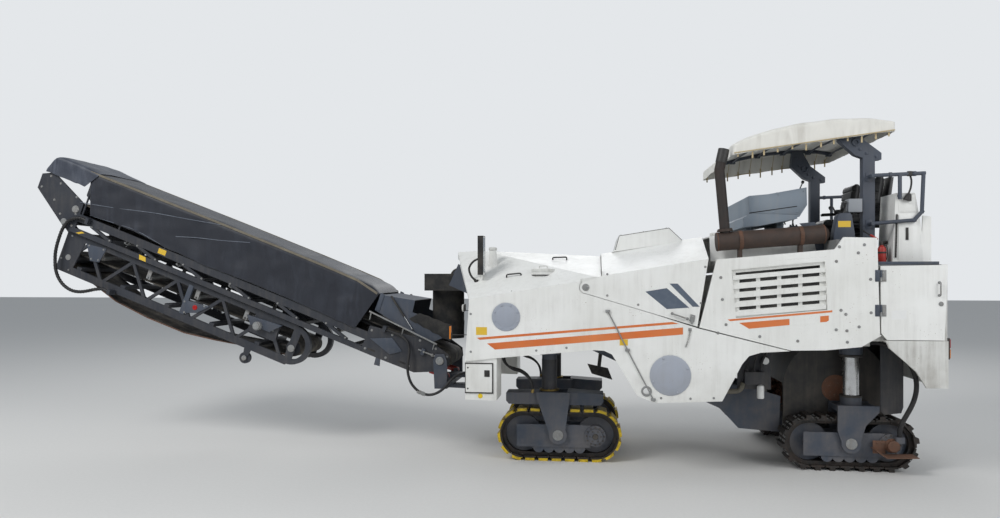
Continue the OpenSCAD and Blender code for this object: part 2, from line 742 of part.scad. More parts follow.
module chute() {
    color(black) on_machine() difference() {
        union() {
            translate([slew_x, 0, 1260]) cylinder(r = chute_r, h = hopper_z[0] - 1259);
            translate([hopper_x, -loader_half_w, hopper_z[0]])
                cube([500, 2 * loader_half_w, hopper_z[1] - hopper_z[0]]);
        }
        translate([slew_x, 0, 1250]) cylinder(r = chute_r - 12, h = 600);
        translate([hopper_x + 12, -loader_half_w + 12, hopper_z[0] + 12])
            cube([500, 2 * loader_half_w - 24, 300]);
        loader_cut();
    }
}

/* Crawlers */
track_r = track_h / 2;
link_r = track_r - shoe_t;
half_run = (track_l - track_h) / 2;
loop_l = 4 * half_run + 2 * PI * (track_r - shoe_t / 2);

// Place on the loop in X and Z, at distance d from the rear end of its upper run
module on_loop(d) {
    run = 2 * half_run;
    arc = PI * (track_r - shoe_t / 2);
    x = d < run ? half_run - d : d < run + arc ? -half_run
        : d < 2 * run + arc ? d - run - arc - half_run : half_run;
    turn = d < run ? 0 : d < run + arc ? (d - run) / arc * 180
        : d < 2 * run + arc ? 180 : 180 + (d - 2 * run - arc) / arc * 180;
    translate([x, track_r]) rotate(turn) translate([0, link_r]) children();
}

module track(x, y, pad) {
    p = loop_l / shoe_n;
    w = track_w / 2;
    color(black) on_machine() translate([x, y, 0]) {
        // Chain inside the shoes
        side_slab(-w + 50, w - 50) difference() {
            track_form(link_r + 6);
            track_form(link_r - 34);
        }
        side_slab(-w, w) intersection() {
            for (i = [0:shoe_n - 1]) on_loop((i + 0.5) * p)
                polygon([[-p / 2 + 6, 0], [-p / 2 + 6, 16], [-p / 2 + pad, 22], [-p / 2 + pad, shoe_t + 2],
                    [p / 2 - pad, shoe_t + 2], [p / 2 - pad, 22], [p / 2 - 6, 16], [p / 2 - 6, 0]]);
            track_form(track_r);
        }
    }
}

module track_form(r) {
    translate([0, track_r]) {
        for (m = [-1, 1]) translate([m * half_run, 0]) circle(r);
        square([2 * half_run, 2 * r], center = true);
    }
}

module front_track_left() { track(0, -front_y, 22); }
module front_track_right() { track(0, front_y, 22); }
module rear_track_left() { track(rear_x, -rear_left_y, 45); }
module rear_track_right() { track(rear_x, rear_right_y, 45); }

module crawler_frame(x, y, pin_x) {
    w = track_w / 2;
    r = link_r - 34 - seam;
    color(steel_grey) on_machine() translate([x, y, 0]) {
        for (m = [-1, 1])
            side_slab(m < 0 ? -w + 8 : w - 30, m < 0 ? -w + 30 : w - 8)
                difference() {
                    translate([-half_run - 70, track_r - 130]) square([2 * half_run + 20, 240]);
                    translate([pin_x, yoke_pin_z]) circle(20);
                }
        // Drive hub and idler
        tube_y(110, -w - 12, w + 12, half_run, track_r);
        tube_y(78, -w - 30, w + 30, half_run, track_r);
        tube_y(60, -w + 10, w - 10, -half_run, track_r);
        for (m = [-1, 1]) tube_y(r, -24, 24, half_run * m, track_r);
        // Track rollers
        for (i = [-2:2]) tube_y(58, -w + 20, w - 20, i * 110, track_r - link_r + 34 + 58 + seam);
        tube_y(34, -yoke_in - yoke_t - 3, yoke_in + yoke_t + 3, pin_x, yoke_pin_z);
    }
}
module front_frame_left() { crawler_frame(0, -front_y, front_pin_x); }
module front_frame_right() { crawler_frame(0, front_y, front_pin_x); }
module rear_frame_left() {
    crawler_frame(rear_x, -rear_left_y, 0);
    // Fitting of the rear hose on the drive hub
    color(steel_grey) on_machine() translate([3360, -805, 312])
        cube([80, 805 - rear_left_y - track_w / 2 - 5, 60]);
}
module rear_frame_right() { crawler_frame(rear_x, rear_right_y, 0); }

front_pin_x = -10;
yoke_in = track_w / 2 + 6;
// Side views of the forks, with their upper front corner first
front_yoke_side = [[steer_x - 135, 740], [steer_x + 230, 740], [steer_x + 225, 690],
    [front_pin_x + 72, yoke_pin_z], [front_pin_x - 88, yoke_pin_z], [steer_x - 130, 690]];
rear_yoke_side = [[rear_x - 130, 670], [rear_x + 270, 670], [rear_x + 270, 610], [rear_x + 140, 470],
    [rear_x + 82, yoke_pin_z], [rear_x - 88, yoke_pin_z], [rear_x - 130, 410]];

// Fork of a crawler: its pin at px, its column at cx, and a bridge from x1 to x2
module yoke(px, cx, side, x1, x2) {
    for (m = [-1, 1])
        side_slab(m < 0 ? -yoke_in - yoke_t : yoke_in, m < 0 ? -yoke_in : yoke_in + yoke_t)
            difference() {
                union() {
                    polygon(side);
                    translate([px, yoke_pin_z]) circle(95);
                }
                translate([px, yoke_pin_z]) circle(34.3);
            }
    translate([x1, -yoke_in - 1, 605]) cube([x2 - x1, 2 * yoke_in + 2, 55]);
    translate([cx, 0, 650]) cylinder(r = column_r + 24, h = 90);
}

module front_guides() {
    color(steel_grey) on_machine() for (m = [-1, 1])
        translate([steer_x, m * front_y, 0]) difference() {
            union() {
                translate([0, 0, 1130]) cylinder(r = column_r + 30, h = 200);
                translate([0, 0, tank_bottom - 26 - seam]) cylinder(r = column_r + 62, h = 26);
            }
            translate([0, 0, 1100]) cylinder(r = column_r + 0.3, h = 260);
        }
}

module front_yoke(m) {
    color(steel_grey) on_machine() translate([0, m * front_y, 0]) {
        yoke(front_pin_x, steer_x, front_yoke_side, steer_x - 90, steer_x + 205);
        // Guards over both ends of the track
        side_slab(-track_w / 2, track_w / 2) {
            polygon([[-570, 640], [-570, 725], [steer_x - 85, 735], [steer_x - 85, 606], [-540, 606]]);
            polygon([[steer_x + 200, 606], [steer_x + 200, 748], [470, 725], [470, 640], [440, 606]]);
        }
        translate([steer_x, 0, 700]) cylinder(r = column_r, h = 610);
    }
}
module front_yoke_left() { front_yoke(-1); }
module front_yoke_right() { front_yoke(1); }

module rear_leg(y) {
    color(steel_grey) on_machine() translate([0, y, 0]) {
        yoke(rear_x, rear_column_x, rear_yoke_side, rear_x - 120, rear_x + 262);
        translate([rear_column_x, 0, 700]) cylinder(r = column_r, h = leg_socket_z + 150 - 700);
        translate([rear_column_x, 0, 1180]) cylinder(r = column_r + 31, h = leg_socket_z + 150 - 1180);
    }
}
module rear_leg_left() { rear_leg(-rear_left_y); }
module rear_leg_right() { rear_leg(rear_right_y); }

/* Slewing bracket and turntable */
hub_z = [725, 805];
module slew_bracket() {
    color(steel_grey) on_machine() {
        translate([-862, -420, 660]) cube([60, 840, 620]);
        for (z = [hub_z[0] - 43, hub_z[1] + 3])
            hull() {
                translate([slew_x, 0, z]) cylinder(r = 70, h = 40, $fn = 32);
                translate([-862, -170, z]) cube([eps, 340, 40]);
            }
        translate([slew_x, 0, hub_z[0] - 44]) cylinder(r = 35, h = hub_z[1] - hub_z[0] + 88);
    }
}

// Foot of a lifting cylinder on the turntable, and its eye on the conveyor in s and n
lift_y = 300;
lift_foot = [slew_x + 40, 850];
lift_eye_sn = [250, -190];
lift_eye = [slew_x - lift_eye_sn[0] * cos(boom_tilt) + lift_eye_sn[1] * sin(boom_tilt),
    boom_z + lift_eye_sn[0] * sin(boom_tilt) + lift_eye_sn[1] * cos(boom_tilt)];
cheek_y = [480, 510];

module turntable() {
    color(steel_grey) on_machine() {
        difference() {
            union() {
                translate([slew_x, 0, hub_z[0]]) cylinder(r = 85, h = hub_z[1] - hub_z[0]);
                translate([slew_x - 60, -cheek_y[1], hub_z[0] + 5])
                    cube([140, 2 * cheek_y[1], hub_z[1] - hub_z[0] - 10]);
            }
            translate([slew_x, 0, hub_z[0] - 10]) cylinder(r = 35.3, h = 200);
        }
        for (m = [-1, 1]) {
            side_slab(m < 0 ? -cheek_y[1] : cheek_y[0], m < 0 ? -cheek_y[0] : cheek_y[1])
                difference() {
                    polygon([[slew_x - 60, hub_z[0] + 5], [slew_x + 80, hub_z[0] + 5], [slew_x + 80, boom_z],
                        [slew_x + 50, boom_z + 75], [slew_x - 50, boom_z + 75], [slew_x - 75, boom_z]]);
                    translate([slew_x, boom_z]) circle(30.3);
                }
            for (y = [lift_y - 55, lift_y + 40])
                side_slab(m < 0 ? -y - 15 : y, m < 0 ? -y : y + 15)
                    polygon([[slew_x + 5, hub_z[1] - 20], [slew_x + 75, hub_z[1] - 20],
                        [slew_x + 65, lift_foot[1] + 20], [slew_x + 15, lift_foot[1] + 20]]);
            tube_y(14, m * lift_y - 56, m * lift_y + 56, lift_foot[0], lift_foot[1]);
        }
    }
}

/* Discharge conveyor, inner section */
module boom_frame() {
    color("#262a36") on_boom() {
        for (m = [-1, 1]) {
            y1 = m < 0 ? -boom_half_w : boom_half_w - 40;
            boom_bar([700, -60], [boom_l - 60, -60], y1, y1 + 40, 90);
            boom_bar([650, -220], [boom_l - 60, -220], y1, y1 + 40, 60);
            for (s = [1100:620:boom_l - 500])
                boom_bar([s, -190], [s + 310, -100], y1 + 4, y1 + 36, 36);
            // Plates that carry the folding hinge
            boom_plate([[boom_l - 160, -250], [boom_l - 160, 120], [boom_l + 330, 335],
                [head_tip[0], 270], head_tip, [boom_l - 20, -235]],
                m < 0 ? y1 : y1 + 18, m < 0 ? y1 + 22 : y1 + 40);
            boom_plate([[900, -250], [900, 60], [200, 160], [-60, 90], [-105, 0], [-60, -110], [238, -243],
                [652, -250]],
                m < 0 ? y1 - 4 : y1 + 30, m < 0 ? y1 + 10 : y1 + 44);
        }
        for (s = [1000:700:boom_l - 300])
            translate([-s - 30, -boom_half_w + 5, -245]) cube([60, 2 * boom_half_w - 10, 40]);
        tube_y(30, -cheek_y[1] - 4, cheek_y[1] + 4, 0, 0);
        tube_y(88 - seam, -boom_half_w + 90, boom_half_w - 90, 0, 0);
        tube_y(68 - seam, -boom_half_w + 90, boom_half_w - 90, -boom_l + 90, 20);
        tube_y(26, -boom_half_w + 5, boom_half_w - 5, -boom_l + 90, 20);
        tube_y(22, -boom_half_w + 5, boom_half_w - 5, -lift_eye_sn[0], lift_eye_sn[1]);
        tube_y(28, -boom_half_w + 5, boom_half_w - 5, -boom_l, fold_n);
        // Fittings of the two hoses
        for (p = [[4520, -85], [700 + seam, 60]])
            translate([-p[0] - 40 + (p[0] < 1000 ? 0 : seam), -510, p[1]]) cube([40 - seam, 62, 70]);
    }
}

module boom_belt() {
    y1 = -boom_half_w + 85;
    y2 = boom_half_w - 85;
    color(black) on_boom() difference() {
        hull() {
            tube_y(100, y1, y2, 0, 0);
            tube_y(80, y1, y2, -boom_l + 90, 20);
        }
        hull() {
            tube_y(88, y1 - 1, y2 + 1, 0, 0);
            tube_y(68, y1 - 1, y2 + 1, -boom_l + 90, 20);
        }
    }
}

module boom_cover() {
    color("#1f2740") on_boom() {
        difference() {
            side_slab(-boom_half_w - 8, boom_half_w + 8)
                polygon([[-930, -10], [-930, 250], [-1100, 430], [-2000, cover_h], [-boom_l + 100, cover_h],
                    [-boom_l - 120, 555], [-boom_l - 320, 540], [-boom_l - 410, 335], [-boom_l - 340, 320],
                    [-boom_l + 70, 0]]);
            side_slab(-boom_half_w - 0.5, boom_half_w + 0.5)
                polygon([[-900, -20], [-900, 240], [-1090, 418], [-2000, cover_h - 12],
                    [-boom_l + 105, cover_h - 12], [-boom_l - 120, 543], [-boom_l - 300, 528],
                    [-boom_l - 500, 528], [-boom_l - 500, 200], [-boom_l - 330, 200], [-boom_l + 70, -20]]);
        }
    }
}

// Guard and rubber walls of the receiving end
module boom_tail() {
    color(steel_grey) on_boom() difference() {
        side_slab(-boom_half_w + 10 + seam, boom_half_w - 10 - seam)
            polygon([[-915, 245], [-915, 430], [-520, 515], [-500, 380], [-60, 385], [-60, 250],
                [-200, 120]]);
        side_slab(-boom_half_w + 24, boom_half_w - 24)
            polygon([[-930, 200], [-930, 418], [-528, 503], [-500, 600], [0, 600], [0, 60], [-200, 60]]);
    }
}

/* Discharge conveyor, folding section, hung back under the inner one */
module fold_frame() {
    low = fold_low_n + 60;
    s0 = boom_l - 60;
    s1 = boom_l - fold_l + 300;
    color("#262a36") on_boom() {
        for (m = [-1, 1]) {
            y1 = m < 0 ? -fold_half_w : fold_half_w - 36;
            boom_bar([s1, fold_top_n - 30], [s0, fold_top_n - 30], y1, y1 + 36, 60);
            boom_bar([s1, low], [s0, low], y1, y1 + 36, 90);
            for (s = [s1 + 100:600:s0 - 500]) {
                boom_bar([s, low + 30], [s + 280, fold_top_n - 50], y1 + 4, y1 + 32, 36);
                boom_bar([s + 280, fold_top_n - 50], [s + 560, low + 30], y1 + 4, y1 + 32, 36);
            }
            difference() {
                boom_plate([[s0 - 200, low - 40], [s0, low - 40], [s0, -280], [boom_l + 30, -220],
                    [boom_l + 50, -170], [boom_l + 20, -120], [boom_l - 40, -130], [s0 - 260, -280]],
                    m < 0 ? y1 : y1 + 18, m < 0 ? y1 + 18 : y1 + 36);
                tube_y(28.3, -500, 500, -boom_l, fold_n);
            }
        }
        for (s = [s1 + 400:600:s0 - 100])
            translate([-s - 30, -fold_half_w + 5, low + 38]) cube([60, 2 * fold_half_w - 10, 40]);
        // Belt drive and guide roller at both sides
        for (m = [-1, 1]) {
            y1 = m < 0 ? -fold_half_w : fold_half_w - 48;
            boom_plate([[s1 + 200, -545], [s1 + 220, -290], [s1 + 520, -290], [s1 + 570, -545]], y1, y1 + 48);
            boom_plate([[s1 + 430, low], [s1 + 530, low], [s1 + 500, -880], [s1 + 460, -880]],
                m < 0 ? y1 : y1 + 36, m < 0 ? y1 + 12 : y1 + 48);
            tube_y(66, m < 0 ? y1 + 11 : y1 - 7, m < 0 ? y1 + 55 : y1 + 37, -s1 - 480, -855);
        }
        // Bearing plates of the rear pulley
        for (m = [-1, 1]) {
            y1 = m < 0 ? -fold_half_w : fold_half_w - 18;
            r = fold_pulleys[1];
            boom_plate([[r[0] - 45, low], [r[0] + 45, low], [r[0] + 45, fold_top_n - 20],
                [r[0] - 45, fold_top_n - 20]], y1, y1 + 18);
        }
        for (r = fold_pulleys) {
            tube_y(r[2] - 12 - seam, -fold_half_w + 64, fold_half_w - 64, -r[0], r[1]);
            tube_y(24, -fold_half_w + 8, fold_half_w - 8, -r[0], r[1]);
        }
        translate([-4000 + seam, -510, -765]) cube([40, 112, 60]);
        // Round end guards
        for (m = [-1, 1])
            side_slab(m < 0 ? -fold_half_w : fold_half_w - 60, m < 0 ? -fold_half_w + 60 : fold_half_w)
                translate([-s1 - 5, -500]) difference() {
                    circle(230);
                    circle(170);
                    translate([-300, -300]) square([300, 600]);
                }
    }
}

// The belt's carrying run hangs slack under the folded section. Columns: share of the
// section's length from the hinge, n
belt_sag = [for (p = [[0.13, -735], [0.26, -850], [0.39, -885], [0.535, -880], [0.65, -815], [0.755, -740],
    [0.84, -690]]) [boom_l - p[0] * fold_l, p[1]]];

module fold_belt() {
    a = fold_pulleys[0];
    b = fold_pulleys[1];
    // The belt's outline in X and Z, g inside its outer face
    module loop_form(g) {
        for (r = fold_pulleys) translate([-r[0], r[1]]) circle(r[2] - g);
        outline = concat([[a[0], a[1] + a[2] - g], [a[0], a[1] - a[2] + g]],
            [for (q = belt_sag) q + [0, g]], [[b[0], b[1] - b[2] + g], [b[0], b[1] + b[2] - g]]);
        polygon([for (p = outline) [-p[0], p[1]]]);
    }
    color(black) on_boom() side_slab(-fold_half_w + 60, fold_half_w - 60) difference() {
        loop_form(0);
        loop_form(12);
    }
}

// Lifting cylinders between the turntable and the conveyor's tail plates
lift_len = norm(lift_eye - lift_foot);
lift_barrel_l = 205;
module on_lift(m) {
    d = lift_eye - lift_foot;
    on_machine() translate([lift_foot[0], m * lift_y, lift_foot[1]])
        rotate([0, atan2(d[0], d[1]), 0]) children();
}

module lift_barrels() {
    color("#a8261e") for (m = [-1, 1]) on_lift(m) difference() {
        union() {
            tube_y(30, -26, 26, 0, 0);
            cylinder(r = 34, h = lift_barrel_l);
        }
        tube_y(14.3, -40, 40, 0, 0);
        translate([0, 0, 60]) cylinder(r = 18.3, h = lift_barrel_l);
    }
}

module lift_rods() {
    color("silver") for (m = [-1, 1]) on_lift(m) difference() {
        union() {
            translate([0, 0, 110]) cylinder(r = 18, h = lift_len - 130);
            tube_y(44, -24, 24, 0, lift_len);
        }
        tube_y(29, -40, 40, 0, lift_len);
    }
}

/* Hoses: each one is a tube swept along its route */
function unit(v) = v / norm(v);
function along(p, i) = unit(p[min(i + 1, len(p) - 1)] - p[max(i - 1, 0)]);
// Side vector of ring i, carried from ring to ring without a twist
function across(p, i) = i == 0 ? unit(cross(along(p, 0), [0.1, 1, 0.2]))
    : let (u = across(p, i - 1), t = along(p, i)) unit(u - (u * t) * t);

module hose(route, r, sides = 8) {
    last = len(route) - 1;
    rings = [for (i = [0:last])
        let (t = along(route, i), u = across(route, i), v = cross(t, u))
            for (k = [0:sides - 1]) route[i] + r * (cos(k * 360 / sides) * u + sin(k * 360 / sides) * v)];
    polyhedron(rings, concat(
        [[for (k = [0:sides - 1]) k]],
        [[for (k = [sides - 1:-1:0]) last * sides + k]],
        [for (i = [0:last - 1], k = [0:sides - 1], f = [0, 1])
            let (a = i * sides + k, b = i * sides + (k + 1) % sides)
                f == 0 ? [a, a + sides, b + sides] : [a, b + sides, b]]));
}

module front_hose() {
    color(black) on_boom() hose([for (p = front_hose_route) [-p[0], p[2], p[1]]], front_hose_r);
}
module head_hose() {
    color(black) on_boom() hose([for (p = head_hose_route) [-p[0], p[2], p[1]]], head_hose_r);
}
module rear_hose() {
    color(black) on_machine() hose(rear_hose_route, rear_hose_r);
}

front_body();
flank_left();
flank_right();
rear_side_left();
rear_side_right();
louvre_left();
louvre_right();
rear_deck();
rear_tank();
engine();
hood();
muffler();
exhaust_pipe();
storage_box_left();
storage_box_right();
storage_door_left();
storage_door_right();
rear_door_left();
rear_door_right();
platform_floor();
rail();
cabinet();
console();
seat();
canopy_post();
canopy();
ladder();
deck_fittings();
drum_housing();
drum();
scraper();
loading_conveyor();
loading_belt();
chute();
front_guides();
front_yoke_left();
front_yoke_right();
front_frame_left();
front_frame_right();
front_track_left();
front_track_right();
rear_leg_left();
rear_leg_right();
rear_frame_left();
rear_frame_right();
rear_track_left();
rear_track_right();
slew_bracket();
turntable();
boom_frame();
boom_cover();
boom_belt();
boom_tail();
fold_frame();
fold_belt();
lift_barrels();
lift_rods();
front_hose();
head_hose();
rear_hose();
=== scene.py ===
"""Cold planer on tracks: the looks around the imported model.

+X is the machine's rear, +Y its right side, +Z up, in metres.
"""
import math

import bmesh
import bpy
from mathutils import Matrix, Vector, noise


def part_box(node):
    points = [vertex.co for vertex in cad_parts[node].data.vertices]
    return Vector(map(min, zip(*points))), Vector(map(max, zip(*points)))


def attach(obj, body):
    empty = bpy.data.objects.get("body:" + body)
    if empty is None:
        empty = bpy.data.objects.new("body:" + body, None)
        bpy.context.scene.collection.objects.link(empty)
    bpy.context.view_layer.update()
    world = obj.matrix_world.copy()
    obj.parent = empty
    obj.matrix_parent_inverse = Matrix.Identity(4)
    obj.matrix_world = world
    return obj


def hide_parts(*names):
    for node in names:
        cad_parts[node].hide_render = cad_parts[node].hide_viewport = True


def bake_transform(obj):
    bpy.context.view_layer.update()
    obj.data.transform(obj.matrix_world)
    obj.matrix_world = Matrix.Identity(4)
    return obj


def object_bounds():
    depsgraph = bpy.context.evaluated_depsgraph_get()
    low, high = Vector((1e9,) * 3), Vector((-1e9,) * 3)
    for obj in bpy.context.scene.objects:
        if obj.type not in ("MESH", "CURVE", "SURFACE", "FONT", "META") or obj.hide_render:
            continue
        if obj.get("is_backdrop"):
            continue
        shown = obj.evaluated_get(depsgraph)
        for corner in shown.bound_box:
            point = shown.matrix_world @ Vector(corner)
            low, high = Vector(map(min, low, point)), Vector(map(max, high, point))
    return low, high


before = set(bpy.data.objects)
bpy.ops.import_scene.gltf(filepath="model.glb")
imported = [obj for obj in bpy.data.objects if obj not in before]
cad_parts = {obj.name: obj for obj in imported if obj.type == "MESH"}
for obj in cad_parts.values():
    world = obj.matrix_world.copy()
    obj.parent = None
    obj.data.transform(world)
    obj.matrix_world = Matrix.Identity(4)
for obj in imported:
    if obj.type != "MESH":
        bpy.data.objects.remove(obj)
cad_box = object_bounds()

# The front crawler's centre, from which the machine's places are measured
track_low, track_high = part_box("front_track_left")
FRONT_X = (track_low[0] + track_high[0]) / 2
HALF_W = 1.25  # half of the body's width

# ---------------------------------------------------------------- camera and light


def linear(hex_colour):
    """sRGB hex to a linear colour with alpha."""
    out = []
    for i in (0, 2, 4):
        c = int(hex_colour[i : i + 2], 16) / 255
        out.append(c / 12.92 if c <= 0.04045 else ((c + 0.055) / 1.055) ** 2.4)
    return (*out, 1.0)


def place_camera():
    """The photograph's viewpoint: level, 7 degrees towards the front, 27 mm lens."""
    cam = bpy.data.objects.new("camera", bpy.data.cameras.new("camera"))
    cam.data.sensor_width = 36
    cam.data.lens = 27
    cam.data.shift_y = 0.0185
    cam.location = (FRONT_X + 0.361, -8.703, 1.967)
    cam.rotation_euler = (math.radians(90), 0, math.radians(7.07))
    cam.data.clip_end = 200
    bpy.context.collection.objects.link(cam)
    bpy.context.scene.camera = cam


def area_light(name, location, target, size, power):
    lamp = bpy.data.lights.new(name, "AREA")
    lamp.shape = "DISK"
    lamp.size = size
    lamp.energy = power
    obj = bpy.data.objects.new(name, lamp)
    obj.location = location
    obj.rotation_euler = (Vector(target) - Vector(location)).to_track_quat("-Z", "Y").to_euler()
    bpy.context.collection.objects.link(obj)


place_camera()
area_light("key", (-7, -9, 11), (0, 0, 1.2), 6, 1050)
area_light("fill", (10, -8, 6), (0, 0, 1.5), 7, 380)
area_light("back", (2, 12, 9), (0, 0, 1.5), 8, 480)

# ---------------------------------------------------------------- materials


def add(tree, kind, inputs=None, out=0, **settings):
    """Adds a node with its settings, each input a value or a socket to link; gives its socket out."""
    node = tree.nodes.new("ShaderNode" + kind)
    for name, value in settings.items():
        setattr(node, name, value)
    for key, value in (inputs or {}).items():
        if isinstance(value, bpy.types.NodeSocket):
            tree.links.new(value, node.inputs[key])
        else:
            node.inputs[key].default_value = value
    return node.outputs[out] if node.outputs else node


def per_mm(size):
    """Texture scale that repeats about every size millimetres."""
    return 1000.0 / size


def begin(name):
    """A new empty material with its node tree and its Object coordinates."""
    mat = bpy.data.materials.new(name)
    mat.use_nodes = True
    mat.node_tree.nodes.clear()
    return mat, mat.node_tree, add(mat.node_tree, "TexCoord", out="Object")


def machine_enamel(name, colour, faded, grime, rust, gloss=0.38, dirt=0.5, chips=0.5):
    """Sprayed two-pack enamel on plate: slight orange peel, rain streaks, dust below, chips to rust."""
    mat, tree, place = begin(name)
    # Streaks run down: the pattern is stretched along Z
    drawn = add(tree, "Mapping", {"Vector": place, "Scale": (1.0, 1.0, 0.07)})
    streak = add(tree, "TexNoise", {"Vector": drawn, "Scale": per_mm(45), "Detail": 5.0, "Roughness": 0.65})
    broad = add(tree, "TexNoise", {"Vector": place, "Scale": per_mm(900), "Detail": 4.0})
    cloud = add(tree, "TexNoise", {"Vector": place, "Scale": per_mm(260), "Detail": 6.0, "Roughness": 0.6})
    # Chips about 6 mm across, in patches
    speck = add(tree, "TexNoise", {"Vector": place, "Scale": per_mm(16), "Detail": 3.0, "Roughness": 0.7})
    patch = add(tree, "TexNoise", {"Vector": place, "Scale": per_mm(330), "Detail": 2.0})
    peel = add(tree, "TexNoise", {"Vector": place, "Scale": per_mm(9), "Detail": 2.0})
    height = add(tree, "SeparateXYZ", {"Vector": place}, out="Z")
    # Dust thrown up by the crawlers thins out between 0.35 and 1.25 m above the ground
    low = add(
        tree, "MapRange",
        {"Value": height, "From Min": 1.25, "From Max": 0.35, "To Min": 0.12, "To Max": 1.0},
    )
    fade, streaks, stains, dusty, specks, patches = (
        add(tree, "MapRange", {"Value": grey, "From Min": dark, "From Max": light})
        for grey, dark, light in (
            (broad, 0.35, 0.7), (streak, 0.42, 0.75), (cloud, 0.3, 0.7), (cloud, 0.35, 0.62),
            (speck, 0.66, 0.69), (patch, 0.56, 0.62),
        )
    )
    paint = add(tree, "Mix", {0: fade, 6: linear(colour), 7: linear(faded)}, out=2, data_type="RGBA")
    for first, second, amount, over in (
        (streaks, stains, dirt * 0.8, grime), (low, dusty, dirt, grime), (specks, patches, chips, rust),
    ):
        both = add(tree, "Math", {0: first, 1: second}, operation="MULTIPLY")
        share = add(tree, "Math", {0: both, 1: amount}, operation="MULTIPLY")
        paint = add(tree, "Mix", {0: share, 6: paint, 7: linear(over)}, out=2, data_type="RGBA")
    rough = add(tree, "Math", {0: cloud, 1: 0.25, 2: gloss}, operation="MULTIPLY_ADD")
    bump = add(tree, "Bump", {"Height": peel, "Strength": 0.06, "Distance": 0.002})
    shader = add(
        tree, "BsdfPrincipled", {"Base Color": paint, "Roughness": rough, "Normal": bump, "IOR": 1.5},
    )
    add(tree, "OutputMaterial", {"Surface": shader})
    return mat


def worn_iron(name, colour, rust, bright, rough=0.55, rusty=0.6, polish=0.3):
    """Cast or rolled steel left bare: brown oxide in patches, rubbed bright where it works."""
    mat, tree, place = begin(name)
    cloud = add(tree, "TexNoise", {"Vector": place, "Scale": per_mm(90), "Detail": 8.0, "Roughness": 0.7})
    rub = add(tree, "TexNoise", {"Vector": place, "Scale": per_mm(24), "Detail": 5.0, "Roughness": 0.75})
    oxide = add(tree, "MapRange", {"Value": cloud, "From Min": 0.4, "From Max": 0.65, "To Max": rusty})
    shine = add(tree, "MapRange", {"Value": rub, "From Min": 0.56, "From Max": 0.7, "To Max": polish})
    skin = add(tree, "Mix", {0: oxide, 6: linear(colour), 7: linear(rust)}, out=2, data_type="RGBA")
    skin = add(tree, "Mix", {0: shine, 6: skin, 7: linear(bright)}, out=2, data_type="RGBA")
    shader = add(tree, "BsdfPrincipled", {
        "Base Color": skin,
        "Metallic": add(tree, "Math", {0: shine, 1: 1.2}, operation="MULTIPLY"),
        "Roughness": add(tree, "MapRange", {"Value": cloud, "To Min": rough - 0.1, "To Max": rough + 0.25}),
        "Normal": add(tree, "Bump", {"Height": rub, "Strength": 0.3, "Distance": 0.002}),
    })
    add(tree, "OutputMaterial", {"Surface": shader})
    return mat


def ground_metal(name, colour, rough, stain):
    """Plated or ground metal, such as hard chrome on a rod: a clear reflection under brown smears."""
    mat, tree, place = begin(name)
    smear = add(tree, "TexNoise", {"Vector": place, "Scale": per_mm(60), "Detail": 6.0})
    film = add(tree, "MapRange", {"Value": smear, "From Min": 0.5, "From Max": 0.8, "To Max": 0.6})
    shader = add(tree, "BsdfPrincipled", {
        "Base Color": add(
            tree, "Mix", {0: film, 6: linear(colour), 7: linear(stain)}, out=2, data_type="RGBA",
        ),
        "Metallic": 1.0,
        "Roughness": add(tree, "MapRange", {"Value": smear, "To Min": rough, "To Max": rough + 0.25}),
    })
    add(tree, "OutputMaterial", {"Surface": shader})
    return mat


def coated_cloth(name, colour, crease, weave, rough=0.6, marks=0.5):
    """PVC-coated polyester sheet: a plain weave under the coat; the crease colour is painted shade and sheen along
    the folds, laid only within rain-mark patches.
    """
    mat, tree, place = begin(name)
    cloud = add(tree, "TexNoise", {"Vector": place, "Scale": per_mm(380), "Detail": 7.0, "Roughness": 0.62})
    drawn = add(tree, "Mapping", {"Vector": place, "Scale": (1.0, 0.25, 0.25)})
    fold = add(tree, "TexNoise", {"Vector": drawn, "Scale": per_mm(140), "Detail": 5.0, "Distortion": 1.5})
    # Painted fold shade and sheen: the crease colour follows the fold noise, only where the stain noise is high
    fold_shade = add(tree, "MapRange", {"Value": fold, "From Min": 0.45, "From Max": 0.72, "To Max": marks})
    stains = add(tree, "MapRange", {"Value": cloud, "From Min": 0.32, "From Max": 0.66})
    dirt_and_fold_shade = add(tree, "Math", {0: fold_shade, 1: stains}, operation="MULTIPLY")
    # The real thread is 1 mm; drawn 4 times as coarse so that it shows. A wave repeats every 6.3 units
    warp, weft = (
        add(tree, "TexWave", {"Vector": place, "Scale": per_mm(weave * 6.3)}, out="Fac", bands_direction=axis)
        for axis in "XY"
    )
    threads = add(tree, "Math", {0: warp, 1: weft}, operation="ADD")
    folds = add(tree, "Math", {0: fold, 1: 2.0}, operation="MULTIPLY")
    relief = add(tree, "Math", {0: threads, 1: 0.12, 2: folds}, operation="MULTIPLY_ADD")
    shader = add(tree, "BsdfPrincipled", {
        "Base Color": add(
            tree, "Mix", {0: dirt_and_fold_shade, 6: linear(colour), 7: linear(crease)}, out=2, data_type="RGBA",
        ),
        "Roughness": rough,
        "Sheen Weight": 0.15,
        "Normal": add(tree, "Bump", {"Height": relief, "Strength": 0.35, "Distance": 0.006}),
    })
    add(tree, "OutputMaterial", {"Surface": shader})
    return mat


